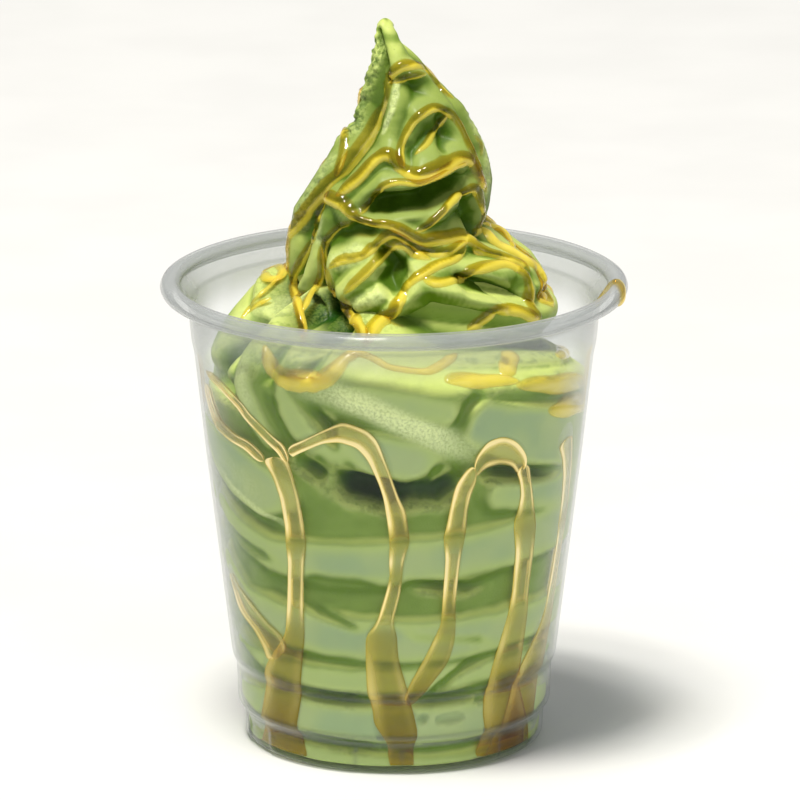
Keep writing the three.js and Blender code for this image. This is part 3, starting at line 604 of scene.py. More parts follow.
def folded_peak():
    """Radius of the peak: a core that lies behind the outline, the folds' ridges on it, and the
    hollows cut out as bell-shaped valleys."""
    outline = reach(HEIGHTS)
    total = outline - CORE_DEPTH * np.clip((PEAK_HEIGHT - HEIGHTS) / 9, 0.15, 1) + 0 * ANGLES
    paths = [(*cast(pixels, reach, middle), *fold) for pixels, *fold in FOLDS.values()]
    for i in range(BACK_FOLDS):
        angle, z = np.array(BACK_DRAPE).T
        paths.append((BACK_START + BACK_SPACING * i + angle, z - 1.5 * i, BACK_LIFT,
                      BACK_ROUNDNESS))
    for angle, z, lift, roundness in paths:
        steps = steps_along(angle, z, PEAK_UNROLLED, 0.8, lift)
        total = soft_max(total, outline + ridge(steps, reach, roundness, CORE_DEPTH), 0.2)
    for pixels, depth, width in HOLLOWS.values():
        total -= depth * near_path(pixels, width, 4 if depth > 3 else 2)
    return total


def free_radius():
    """Radius left free by the cup, seen from the leaning axis."""
    x, a = middle(HEIGHTS), np.radians(ANGLES)
    wall = inside_wall(HEIGHTS) + CONTACT
    free = -x * np.cos(a) + np.sqrt(wall ** 2 - (x * np.sin(a)) ** 2)
    return np.where(HEIGHTS < CUP_HEIGHT, free, np.inf)


def points_of(radius):
    """Points of a surface given by its table."""
    return round_about(ANGLES, radius, HEIGHTS, middle(HEIGHTS))


def above_and_below(table, rows):
    """A table moved down and up by so many rows, with its edges repeated."""
    padded = np.pad(table, ((rows, rows), (0, 0)), mode="edge")
    return padded[2 * rows:], padded[:-2 * rows]


def crest_of(radius, about=1.5):
    """How far each place stands out from its surroundings, taken that far (mm) about it: positive
    on crests and negative in creases and hollows."""
    across = int(about / (np.radians(ANGLE_STEP) * 22))
    above, below = above_and_below(radius, int(about / LEVEL_STEP))
    return radius - (above + below + np.roll(radius, across, 1) + np.roll(radius, -across, 1)) / 4


def facing_up(radius, about=0.6):
    """How far the surface faces up, from -1 to 1: minus its change of radius with height, over the
    length of its normal, averaged over the distance given (mm)."""
    rows = int(about / LEVEL_STEP)
    above, below = above_and_below(radius, rows)
    rise = (above - below) / (2 * rows * LEVEL_STEP)
    turn = (np.roll(radius, -3, 1) - np.roll(radius, 3, 1)) \
        / (6 * np.radians(ANGLE_STEP) * np.maximum(radius, 2))
    return -rise / np.sqrt(1 + rise ** 2 + turn ** 2)


def value_at(table, angle, z):
    """Value of a table at angles and heights, blended between its four nearest entries."""
    a = (angle % 360) / ANGLE_STEP
    b = np.clip((z - LEVELS[0]) / LEVEL_STEP, 0, len(LEVELS) - 1.001)
    i, j = np.floor(b).astype(int), np.floor(a).astype(int)
    f, g = b - i, a - j
    j, k = j % len(ANGLES), (j + 1) % len(ANGLES)
    lower, upper = (table[row, j] * (1 - g) + table[row, k] * g for row in (i, i + 1))
    return lower * (1 - f) + upper * f


def softened(table, columns=3, rows=4):
    """A table averaged with its neighbours, as finely as the mesh can follow, so that a steep edge
    that runs aslant has no teeth."""
    across = range(-columns, columns + 1)
    table = sum(np.roll(table, n, axis=1) for n in across) / len(across)
    padded = np.pad(table, ((rows, rows), (0, 0)), mode="edge")
    return sum(padded[n:n + len(table)] for n in range(2 * rows + 1)) / (2 * rows + 1)


def banks_of(name):
    """The two banks of a run on the wall as (angle, height) paths with as many points each, and
    how filled the run is there."""
    *sides, filled = RUNS[name]
    banks = [np.stack(cast(side, inside_wall, upright), -1) for side in sides]
    flat = banks[0] * (np.radians(WALL_UNROLLED), 1)
    count = max(8, int(np.linalg.norm(np.diff(flat, axis=0), axis=1).sum() / 0.6))
    t = np.linspace(0, 1, count)

    def evenly(values):
        return np.interp(t, np.linspace(0, 1, len(values)), values)

    left, right = (eased(np.stack([evenly(c) for c in bank.T], -1), 1.6) for bank in banks)
    return left, right, evenly(filled)


def honey_on_wall():
    """1 where honey lies between the ice cream and the wall and 0 away from it."""
    steps = []
    for name, angle in ALL_RUNS:
        left, right, _ = banks_of(name)
        half = np.linalg.norm((right - left) * (np.radians(WALL_UNROLLED), 1), axis=1) / 2
        steps.append([*((left + right) / 2 + (angle, 0)).T, half])
    return drawn(np.concatenate(steps, axis=1), at_wall, lambda squared, width:
                 1 - smooth_step(np.sqrt(squared) / width, 0.8, 1.05))


def bubble_dents():
    """Depth of the small bubbles against the wall, each a half ellipsoid."""
    depth = 0.0
    for (u, v), (a, b) in BUBBLES:
        angle, z = cast([(u, v), (u + a, v), (u, v + b)], inside_wall, upright)
        across = turned(ANGLES - angle[0]) / abs(angle[1] - angle[0])
        up = (HEIGHTS - z[0]) / abs(z[2] - z[0])
        depth = np.maximum(depth, BUBBLE_DEPTH * np.sqrt(np.clip(1 - across ** 2 - up ** 2, 0, 1)))
    return depth


def texture(radius, torn, seed, coarse=1.0):
    """Unevenness of scooped soft serve: soft swells, and a fine torn grain on the crests."""
    p = points_of(np.maximum(radius, 1))
    swell = 0.16 * clumps(p, 4.5, seed) + 0.08 * clumps(p, 1.8, seed + 3)
    grain = 0.5 * clumps(p, 1.1, seed + 5) + 0.36 * clumps(p, 0.6, seed + 9)
    return swell + coarse * torn * grain


# The rope in the cup: it keeps back in front, except where its bulges were pressed on the wall and
# where it fills the space a little behind the wall. Then the gaps are cut and the torn grain added.
retreat = FRONT_RETREAT * np.clip((95 - np.abs(FROM_FRONT)) / 30, 0, 1) \
    * np.clip((LEDGE_HEIGHT - HEIGHTS) / 8, 0, 1)
rope = soft_max(piped_rope() - retreat, pressed_bulges(), 0.4)
filling = inside_wall(HEIGHTS) - SHALLOW - 60 * smooth_step(HEIGHTS, 76, 92)
rope = soft_max(rope, filling + 0.5 * clumps(points_of(0 * rope + 36), 7.0, 2), 0.3)
gap_depth = sum(depth * near_path(pixels, width, 3, inside_wall, upright, 0.1)
                for pixels, depth, width in GAPS.values())
rope -= gap_depth
rope_frost_and_glint = np.maximum.reduce([
    much * near_path(pixels, width, 4, (lambda z, r=r: r + 0 * z) if r else inside_wall, upright,
                     0.3) for pixels, width, r, much in FROST_AND_GLINT.values()])
rope_torn = np.maximum(0.5 * smooth_step(crest_of(rope), 0.05, 0.5), 0.3 * rope_frost_and_glint)
rope += texture(rope, rope_torn, 0, 0.35)
WALL_LIMIT = free_radius()
rope_pressed = softened(smooth_step(rope - WALL_LIMIT, -0.15, 0.25))
rope_squashed = softened(smooth_step(rope - WALL_LIMIT, 0.3, 1.8))
honey_limit = WALL_LIMIT - HONEY_ROOM * honey_on_wall()
ROPE = np.maximum(np.minimum(rope, honey_limit), LEAST_RADIUS)

# The peak, with its torn edges and its rounded tip.
peak = folded_peak()
torn_places = [(near_path(pixels, width, 4), much, pale)
               for pixels, width, much, pale in TORN.values()]
peak_torn = np.maximum.reduce([near * much for near, much, _ in torn_places])
peak_frost_and_glint = np.maximum.reduce([near * pale for near, _, pale in torn_places])
peak += texture(peak, peak_torn, 20)
tip = np.clip((PEAK_HEIGHT - HEIGHTS) / TIP_ROUNDING, 0, 1)
PEAK = np.maximum(np.minimum(peak, WALL_LIMIT), LEAST_RADIUS) * np.sqrt(1 - (1 - tip) ** 2 + 1e-6)
PEAK[LEVELS < PEAK_BASE] = STUB_RADIUS

# What the honey strands lie on: they bridge the clefts, which are cut afterwards.
SURFACE = np.where(HEIGHTS > ROPE_TOP, PEAK, np.maximum(ROPE, PEAK))


def outside(p):
    """How far points lie outside the ice cream, measured level from its leaning axis."""
    angle, z, away = from_axis(p)
    return np.maximum(away - value_at(SURFACE, angle, z), z - PEAK_HEIGHT)


def slope(p):
    """Direction in which points leave the ice cream, as long as the surface is steep."""
    h = 0.3
    return np.stack([outside(p + h * e) - outside(p - h * e) for e in np.eye(3)], -1) / (2 * h)


def settled(p, passes=5):
    """Points moved onto the ice cream along its slope."""
    for _ in range(passes):
        g = slope(p)
        p = p - 0.8 * outside(p)[..., None] * g / np.maximum((g * g).sum(-1, keepdims=True), 0.2)
    return p


def seen(pixels):
    """Points where the view rays of the pixels first meet the ice cream."""
    u, v = np.asarray(pixels, float).T[..., None]
    y = np.arange(-46, 46, 0.12) + 0 * u
    up = (RIM_PIXEL[1] - v) / PIXELS_PER_MM
    z = RIM_LEVEL + (up - y * np.sin(VIEW_TILT)) / np.cos(VIEW_TILT)
    rays = np.stack([(u - RIM_PIXEL[0]) / PIXELS_PER_MM + 0 * y, y, z], -1)
    away = outside(rays)
    first = np.where((away < 0).any(1), np.argmax(away < 0, axis=1), np.argmin(away, axis=1))
    return rays[np.arange(len(rays)), first]


def cleft_depth():
    """How deep the clefts cut in, as bells along the paths where they are seen."""
    steps = []
    for pixels, deep, width in CLEFTS.values():
        angle, z, _ = from_axis(seen(resample(pixels, 1.5)[0]))
        much = deep * np.interp(np.linspace(0, 1, len(z)), [0, 0.25, 1], [0.4, 1, 1])
        steps.append([angle, z, much, np.full(len(z), width)])
    return drawn(np.concatenate(steps, axis=1), reach, lambda squared, much, width:
                 much * np.exp(-(squared / width ** 2) ** 1.5))


cut = cleft_depth() * smooth_step(HEIGHTS, 84, 87)
ROPE = np.minimum(np.where(HEIGHTS < PEAK_BASE, softened(ROPE), ROPE), honey_limit - bubble_dents())
ROPE = np.maximum(ROPE - cut, LEAST_RADIUS)
PEAK = np.maximum(PEAK - cut, np.minimum(PEAK, LEAST_RADIUS))
SHADED = softened(smooth_step(cut + gap_depth, 1.5, 5.5))


# ---------------------------------------------------------------- meshes

def closed_skin(name, parts, material, slot, replaces=(), **values):
    """One mesh of closed skins. A part is a grid of rings, rings[i, j] being point j of ring i;
    each ring closes on itself and the first and last are closed by a point in their middle. A part
    that comes out with a negative volume is turned over. values are numbers at the grid points."""
    corners, counts, points, offset = [], [], [], 0
    numbers = {key: [] for key in values}
    for n, rings in enumerate(parts):
        rows, columns = rings.shape[:2]
        body = np.concatenate([rings.reshape(-1, 3), rings[[0, -1]].mean(axis=1)])
        i, j = np.indices((rows - 1, columns))
        k = (j + 1) % columns
        quads = np.stack([i * columns + j, i * columns + k, (i + 1) * columns + k,
                          (i + 1) * columns + j], -1).reshape(-1, 4)
        j, k, end = j[0], k[0], (rows - 1) * columns
        first = np.stack([0 * j + rows * columns, k, j], -1)
        last = np.stack([0 * j + rows * columns + 1, end + j, end + k], -1)
        fans = np.concatenate([first, last])
        halves = np.concatenate([quads[:, [0, 1, 2]], quads[:, [0, 2, 3]], fans])
        a, b, c = body[halves].swapaxes(0, 1)
        if (a * np.cross(b, c)).sum() < 0:
            quads, fans = quads[:, ::-1], fans[:, ::-1]
        corners += [(quads + offset).ravel(), (fans + offset).ravel()]
        counts += [np.full(len(quads), 4), np.full(len(fans), 3)]
        points.append(body)
        offset += len(body)
        for key, lists in values.items():
            grid = np.broadcast_to(lists[n], (rows, columns))
            numbers[key].append(np.concatenate([grid.ravel(), grid[[0, -1]].mean(axis=1)]))
    corners, counts = np.concatenate(corners), np.concatenate(counts)
    starts = np.concatenate([[0], np.cumsum(counts)[:-1]])
    mesh = bpy.data.meshes.new(name)
    mesh.vertices.add(offset)
    mesh.vertices.foreach_set("co", (np.concatenate(points) * MM).astype(np.float32).ravel())
    mesh.loops.add(len(corners))
    mesh.loops.foreach_set("vertex_index", corners.astype(np.int32))
    mesh.polygons.add(len(counts))
    mesh.polygons.foreach_set("loop_start", starts.astype(np.int32))
    mesh.update(calc_edges=True)
    mesh.polygons.foreach_set("use_smooth", np.ones(len(counts), bool))
    for key, lists in numbers.items():
        mesh.attributes.new(key, "FLOAT", "POINT").data.foreach_set(
            "value", np.concatenate(lists).astype(np.float32))
    mesh.validate()
    mesh.materials.append(material)
    piece = bpy.data.objects.new(name, mesh)
    bpy.context.scene.collection.objects.link(piece)
    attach(piece, "root")
    if replaces:
        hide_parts(*replaces)


# ---------------------------------------------------------------- materials

def rgb(red, green, blue):
    """A colour given as on a screen, 0 to 255, as the shader's linear numbers."""
    c = np.array([red, green, blue]) / 255
    return (*np.where(c < 0.04045, c / 12.92, ((c + 0.055) / 1.055) ** 2.4), 1.0)


class Tone:
    """A socket of a shader tree that can be used in sums."""

    def __init__(self, finish, socket):
        self.finish, self.socket = finish, socket

    def _math(self, operation, a, b):
        return self.finish.node("ShaderNodeMath", {"operation": operation}, {0: a, 1: b})

    def __add__(self, other):
        return self._math("ADD", self, other)

    def __sub__(self, other):
        return self._math("SUBTRACT", self, other)

    def __rsub__(self, other):
        return self._math("SUBTRACT", other, self)

    def __mul__(self, other):
        return self._math("MULTIPLY", self, other)

    def __pow__(self, other):
        return self._math("POWER", self, other)

    __radd__, __rmul__ = __add__, __mul__


class Finish:
    """A material and the calls that add nodes to it."""

    def __init__(self, name):
        self.material = bpy.data.materials.new(name)
        self.material.use_nodes = True
        self.tree = self.material.node_tree
        self.tree.nodes.clear()

    def node(self, kind, settings=None, inputs=None, out=0):
        """Adds a node: first its settings, then the values or links of its sockets."""
        node = self.tree.nodes.new(kind)
        for key, value in (settings or {}).items():
            if key == "stops":
                ramp = node.color_ramp.elements
                while len(ramp) < len(value):
                    ramp.new(1.0)
                for element, (position, colour) in zip(ramp, value):
                    element.position, element.color = position, colour
            else:
                setattr(node, key, value)
        for key, value in (inputs or {}).items():
            if isinstance(value, Tone):
                self.tree.links.new(value.socket, node.inputs[key])
            else:
                node.inputs[key].default_value = value
        return Tone(self, node.outputs[out] if len(node.outputs) else None)

    def place(self):
        return self.node("ShaderNodeTexCoord", out="Object")

    def height(self):
        return self.node("ShaderNodeSeparateXYZ", inputs={"Vector": self.place()}, out="Z")

    def numbers(self, *attributes):
        return [self.node("ShaderNodeAttribute", {"attribute_name": name}, out="Fac")
                for name in attributes]

    def noise(self, size, detail=2.0, rough=0.5, squash=(1, 1, 1)):
        """Noise whose clumps are about size metres apart."""
        where = self.node("ShaderNodeMapping", inputs={"Vector": self.place(), "Scale": squash})
        return self.node("ShaderNodeTexNoise", inputs={
            "Vector": where, "Scale": 1.0 / size, "Detail": detail, "Roughness": rough})

    def fit(self, value, low, high, to_low=0.0, to_high=1.0):
        """Maps low..high to to_low..to_high, smoothly, and stops at both ends."""
        return self.node("ShaderNodeMapRange", {"interpolation_type": "SMOOTHSTEP"}, {
            "Value": value, "From Min": low, "From Max": high, "To Min": to_low,
            "To Max": to_high})

    def mix(self, amount, a, b, blend="MIX"):
        return self.node("ShaderNodeMix", {"data_type": "RGBA", "blend_type": blend}, {
            0: amount, 6: a, 7: b}, out=2)

    def bump(self, height, distance, strength):
        return self.node("ShaderNodeBump", inputs={
            "Height": height, "Distance": distance, "Strength": strength})

    def glance(self, normal):
        """0 face on and 1 at a glancing angle."""
        return self.node("ShaderNodeLayerWeight", inputs={"Blend": 0.5, "Normal": normal},
                         out="Facing")

    def clear(self, *colour):
        return self.node("ShaderNodeBsdfTransparent", inputs={"Color": rgb(*colour)})

    def shine(self, level, roughness, normal):
        return self.node("ShaderNodeBsdfGlossy", inputs={
            "Color": rgb(level, level, level), "Roughness": roughness, "Normal": normal})

    def principled(self, **inputs):
        names = {key.replace("_", " "): value for key, value in inputs.items()}
        return self.node("ShaderNodeBsdfPrincipled", inputs=names)

    def blended(self, amount, a, b):
        return self.node("ShaderNodeMixShader", inputs={0: amount, 1: a, 2: b})

    def done(self, surface):
        self.node("ShaderNodeOutputMaterial", inputs={"Surface": surface})
        return self.material


def soft_serve_finish():
    """Matcha soft serve. Painted light and shade: paler on crests and on top, greener and darker
    underneath, darker high on the peak, and deep green in the creases, hollows, clefts and gaps. It
    is frosted where it tore, with painted glints in the frost, and paler where it is pressed on the
    wall, partly its own pressed look and partly painted light."""
    f = Finish("matcha_soft_serve")
    torn, frosty, pressed, squashed, crest, hollow, upward, shaded = f.numbers(
        "torn", "frosty", "pressed", "squashed", "crest", "hollow", "upward", "shaded")
    grain = f.noise(0.0006, 3, 0.65)
    coarse = f.noise(0.0022, 3, 0.6)
    height = f.height()
    # Painted shade: a darker tone high on the peak, fading out again at the tip.
    high = f.fit(height, 0.098, 0.122) * f.fit(height, 0.151, 0.142)
    colour = f.mix(f.fit(f.noise(0.011, 3), 0.35, 0.65), rgb(126, 154, 58), rgb(136, 163, 68))
    for amount, tint, *blend in [
            # Painted light and shade: paler where the surface faces up, deep green where it faces
            # down.
            (f.fit(upward, 0.1, 0.62), (198, 211, 114)),
            (f.fit(upward, 0.05, -0.45) * 0.9, (88, 122, 4)),
            # Painted highlight on the crests and painted shade in the creases.
            (f.fit(crest, 0.05, 0.5) * 0.5, (188, 200, 118)),
            (f.fit(crest, 0.0, -0.45) * 0.6, (98, 132, 16)),
            (high * 0.9, (172, 184, 162), "MULTIPLY"),
            # Painted shade in the hollows and, darkest, in the clefts and gaps.
            (f.fit(hollow, 0.0, -1.8) * 0.9, (58, 92, 2)),
            (shaded * 0.9, (8, 60, 0)),
            (torn * f.fit(grain, 0.36, 0.6) * 0.4, (172, 190, 96)),
            (torn * f.fit(coarse, 0.52, 0.4) * 0.75, (74, 106, 14)),
            # Frost where it tore, with painted glints in it.
            (frosty * f.fit(grain, 0.3, 0.62, 0.6, 1.0), (240, 250, 184)),
            (f.fit(f.noise(0.0007, 2, 0.6), 0.66, 0.74) * 0.3, (100, 126, 40))]:
        colour = f.mix(amount, colour, rgb(*tint), *blend)
    # Paler where it is pressed on the wall: partly its own pressed look, partly painted light.
    dull_and_lit = f.mix(f.fit(f.noise(0.016, 2), 0.38, 0.62), rgb(164, 186, 146), rgb(184, 200, 146))
    touching_and_lit = f.mix(squashed, rgb(190, 208, 134), dull_and_lit)
    colour = f.mix(pressed * (1 - frosty * 0.75) * 0.75, colour, touching_and_lit)
    normal = f.bump((grain * (torn * 0.8 + 0.2) + coarse * 0.5) * (1 - pressed), 0.0004, 0.7)
    rough = f.fit(coarse, 0.3, 0.7, 0.42, 0.6)
    return f.done(f.principled(
        Base_Color=colour, Roughness=rough, Normal=normal, Subsurface_Weight=0.12,
        Subsurface_Radius=(1.0, 1.2, 0.5), Subsurface_Scale=0.0015, IOR=1.36,
        Specular_IOR_Level=0.3, Coat_Weight=0.06, Coat_Roughness=0.25))


def honey_finish():
    """Honey: what lies under it shows through, pale where it is thin and olive gold where it is
    thick. Painted light: it is brighter on the side where the light that it gathers comes out, it
    glows faintly, and its beads on the wall carry a pale painted highlight."""
    f = Finish("honey")
    glow, body, cream = f.numbers("glow", "body", "cream")
    normal = f.bump(f.noise(0.0035, 1), 0.0003, 0.2)
    # Painted light: the gold brightens with the glow, where gathered light comes out, and the beads
    # on the wall take a pale painted highlight.
    gold = f.node("ShaderNodeValToRGB", {"stops": [
        (0.0, rgb(168, 150, 6)), (0.4, rgb(206, 182, 18)), (0.75, rgb(240, 216, 50)),
        (1.0, rgb(252, 232, 86))]}, {0: glow})
    colour = f.mix(cream, gold, rgb(250, 228, 158))
    # Painted light: the honey glows faintly, though it is no lamp.
    lit = f.principled(Base_Color=colour, Roughness=0.3, Normal=normal, IOR=1.49,
                       Emission_Color=colour, Emission_Strength=0.2)
    through = f.blended(body, f.clear(255, 253, 244), f.clear(226, 200, 20))
    inner = f.blended(f.fit(glow, 0.45, 1.0) * (body * 0.55 + 0.14) + cream * 0.85 + 0.02,
                      through, lit)
    return f.done(f.blended(f.glance(normal) ** 5 * 0.8 + 0.025, inner, f.shine(255, 0.05, normal)))


def plastic_finish():
    """Thin clear plastic: see-through face on, mirror-like at a glancing angle, a little greyer in
    the neck, with faint ripples from the mould. Its grey at a glancing angle and its dark lines
    along the bends and at the sharpest glances are painted reflections."""
    f = Finish("clear_plastic")
    normal = f.bump(f.noise(0.012, 2, squash=(1, 1, 0.35)), 0.0006, 0.25)
    glance, neck, (corner,) = f.glance(normal), f.fit(f.height(), 0.086, 0.094), f.numbers("corner")
    # Painted reflections: grey at a glancing angle, dark at the sharpest glances and along the
    # bends.
    edge = f.principled(Base_Color=rgb(186, 189, 189), Roughness=0.15, Normal=normal)
    dark = f.principled(Base_Color=rgb(96, 108, 104), Roughness=0.1, Normal=normal)
    sheer = f.blended(glance ** 5 * 0.8 + 0.012, f.clear(252, 253, 253), f.shine(250, 0.04, normal))
    sheer = f.blended(f.fit(glance, 0.45, 0.95) * 0.4 + neck * 0.3, sheer, edge)
    return f.done(f.blended(f.fit(glance, 0.82, 1.0) * 0.35 + corner * 0.3, sheer, dark))


def floor_finish():
    """Pale matt tabletop with the faintest unevenness."""
    f = Finish("pale_tabletop")
    colour = f.mix(f.fit(f.noise(0.05, 3), 0.3, 0.7), rgb(225, 225, 224), rgb(229, 229, 228))
    return f.done(f.principled(Base_Color=colour, Roughness=0.6))


MATCHA = soft_serve_finish()
HONEY = honey_finish()
PLASTIC = plastic_finish()


# ---------------------------------------------------------------- ice cream

def ice_cream(name, table, low, high, rows, every, hollowness=1.0, **looks):
    """A piece of the ice cream between two heights. Its rows lie at even steps of the way along the
    surface, averaged with the neighbouring angles so that they don't zigzag; its columns lie at
    every so many angles of the table. looks are the tables of what its material shows."""
    inside = (LEVELS >= low) & (LEVELS <= high)
    angles = ANGLES[::every]
    way = np.hypot(np.gradient(table[inside, ::every], axis=0), LEVEL_STEP)
    s = np.cumsum(np.minimum(way, 1.2), axis=0)
    s = softened((s - s[0]) / (s[-1] - s[0]), len(angles) // 30, 0)
    height = np.stack([np.interp(np.linspace(0, 1, rows), column, LEVELS[inside])
                       for column in s.T], -1)
    place = (angles + 0 * height, height)
    rings = round_about(angles, value_at(table, *place), height, middle(height))
    # crest, upward, hollow and shaded drive the painted light and shade of the finish.
    looks.update(crest=crest_of(table), upward=facing_up(table), shaded=SHADED,
                 hollow=(crest_of(table, 3.0) + crest_of(table, 6.0)) / 2 * hollowness)
    closed_skin(name, [rings], MATCHA, "matcha", ["soft_serve"],
                **{key: [value_at(one, *place)] for key, one in looks.items()})


ice_cream("ice_cream_in_cup", ROPE, LEVELS[0], ROPE_TOP, 200, 3, 0.45, torn=rope_torn,
          frosty=rope_frost_and_glint, pressed=rope_pressed, squashed=rope_squashed)
ice_cream("ice_cream_peak", PEAK, PEAK_BASE, PEAK_HEIGHT, 270, 4, torn=peak_torn,
          frosty=peak_frost_and_glint, pressed=0 * PEAK, squashed=0 * PEAK)


# ---------------------------------------------------------------- honey on the ice cream

STRAND_SIDES = 16
STRAND_STEP = 0.4
SPREAD = 1.55                          # the honey's thin skirts reach beyond its thick middle
SUNK = 0.45                            # its underside lies so far inside the ice cream (mm)
LIGHT_ENTERS = np.array([-0.45, -0.2, 0.87])
POOL_RINGS, POOL_SIDES = 12, 48


def full_turn(sides):
    """Angles round a section, in radians."""
    return np.linspace(0, 2 * np.pi, sides, endpoint=False)


def rounded_ends(distance, length):
    """1 away from an end and 0.1 at it, along a quarter circle of the length given."""
    return np.sqrt(np.clip(1 - (1 - np.minimum(distance / length, 1)) ** 2, 0.01, 1))


def glow_and_body(sideways, across, up, thickness, bright=0.0):
    """A strand is dark in a thin line where the light enters, thick in its middle, and bright on
    its far edge and where it lies level. sideways is the place across it, -1 to 1, along the unit
    vectors across."""
    towards = sideways * np.clip((across @ LIGHT_ENTERS)[..., None] / 0.45, -1, 1)
    middle_part = np.clip(1 - sideways ** 2, 0, 1) ** 0.8
    glow = 0.2 + 0.8 * smooth_step(-towards, -0.35, 0.6) + 0.45 * smooth_step(up, 0.55, 0.9) \
        + bright
    body = 0.04 + middle_part * (0.65 * thickness + 0.3 * smooth_step(towards, 0.3, 0.7)
                                 + 0.3 * bright)
    return np.clip(glow, 0, 1), np.clip(body, 0, 1)


def draped(path, half, height, seed, bright=0.0):
    """A strand of honey that lies on the ice cream along a path of points. Its section is a flat
    half ellipse above the surface, sunk a little below it; its width wanders, its ends are round,
    and it spans gaps that are wider than it can follow."""
    p, half = resample(path, STRAND_STEP, np.asarray(half) * SPREAD)
    p = eased(settled(p), 2.2)
    p = np.where(outside(p)[:, None] < 0, settled(p), p)
    away = unit(slope(p))
    across = unit(np.cross(unit(np.gradient(p, axis=0)), away))
    run = np.arange(len(p)) * STRAND_STEP
    ends = np.sqrt(np.clip(np.minimum(run, run[::-1]) / 2.6, 0.01, 1))
    half = half * (1 + 0.22 * clumps(p, 3.2, seed)) * ends
    phi = full_turn(STRAND_SIDES)
    q = p[:, None] + across[:, None] * (half[:, None] * np.cos(phi))[..., None]
    foot = settled(q)
    gap = np.linalg.norm(foot - q, axis=-1)
    foot = foot + (q - foot) * smooth_step(gap, 0.8, 2.0)[..., None]
    rise = height * (1 + 0.25 * clumps(p, 2.3, seed + 4)) * ends
    lift = rise[:, None] * np.sin(phi).clip(0) ** 2.2 \
        + SUNK * ends[:, None] * np.sin(phi).clip(None, 0)
    return (foot + unit(slope(foot)) * lift[..., None], *glow_and_body(
        np.cos(phi), across, away[:, 2:], np.minimum(rise / 0.6, 1.2)[:, None], bright))


def turned_behind(points, turn, lift):
    """The same path turned round the leaning axis and moved in height, set on the ice cream."""
    angle, z, _ = from_axis(points)
    angle, z = angle + turn, np.clip(z + lift, LEDGE_HEIGHT, PEAK_HEIGHT - 3)
    return round_about(angle, value_at(SURFACE, angle, z), z, middle(z))


def pool(centre, sizes, height, seed):
    """A puddle seen at a place: rings from its middle to its edge, laid on the ice cream, domed,
    with a wandering edge, and closed underneath."""
    phi = full_turn(POOL_SIDES)
    edge = 1 + 0.16 * np.sin(2 * phi + seed) + 0.1 * np.sin(3 * phi + 2.1 * seed) \
        + 0.05 * np.sin(5 * phi)
    out = np.linspace(0.05, 1, POOL_RINGS)[:, None]
    pixels = np.stack([centre[0] + sizes[0] * np.cos(phi) * edge * out,
                       centre[1] + sizes[1] * np.sin(phi) * edge * out], -1)
    top = settled(seen(pixels.reshape(-1, 2)).reshape(POOL_RINGS, POOL_SIDES, 3))
    away = unit(slope(top))
    dome = (1 - out ** 2) ** 0.7 + 0 * phi
    # Painted light: the pool is brighter on the side away from the light.
    side = np.stack([np.cos(phi), 0 * phi, -np.sin(phi)], -1) @ LIGHT_ENTERS
    glow = np.clip(1.0 - 0.5 * side * out, 0, 1)
    rings = np.concatenate([top + away * height * dome[..., None], (top - away * 0.4)[::-1]])
    return rings, np.concatenate([glow, glow[::-1]]), np.concatenate([0.15 + 0.6 * dome] * 2)


def honey(name, parts, replaces=()):
    """One piece of honey from its parts, each a grid of rings with its glow, its body and, on the
    wall, the painted highlight of its beads."""
    rings, *looks = zip(*parts)
    looks = dict(zip(("glow", "body", "cream"), [*looks, [0.0] * len(parts)]))
    closed_skin(name, rings, HONEY, "honey", replaces, **looks)


front, behind = [], []
for n, (name, (pixels, half, height)) in enumerate(STRANDS.items()):
    line, half = resample(pixels, 1.5, half)
    path = seen(eased(line, 2.0))
    front.append(draped(path, half, height, n, BRIGHT.get(name, 0.0)))
    if name in BEHIND:
        behind.append(draped(turned_behind(path, *BEHIND[name]), half, height, n + 40))
honey("honey_strands", front, ["soft_serve"])
honey("honey_strands_behind", behind, ["soft_serve"])
honey("honey_pools", [pool(*one, n) for n, one in enumerate(POOLS.values())])


# ---------------------------------------------------------------- honey on the wall

FILM = 0.1                             # thickness (mm) of a drained run
BEAD = 0.7                             # of its beads
SOLID = 0.95                           # of a filled run
BEAD_AT = 0.77                         # of the way from the middle to the bank
BEAD_WIDTH = 0.24


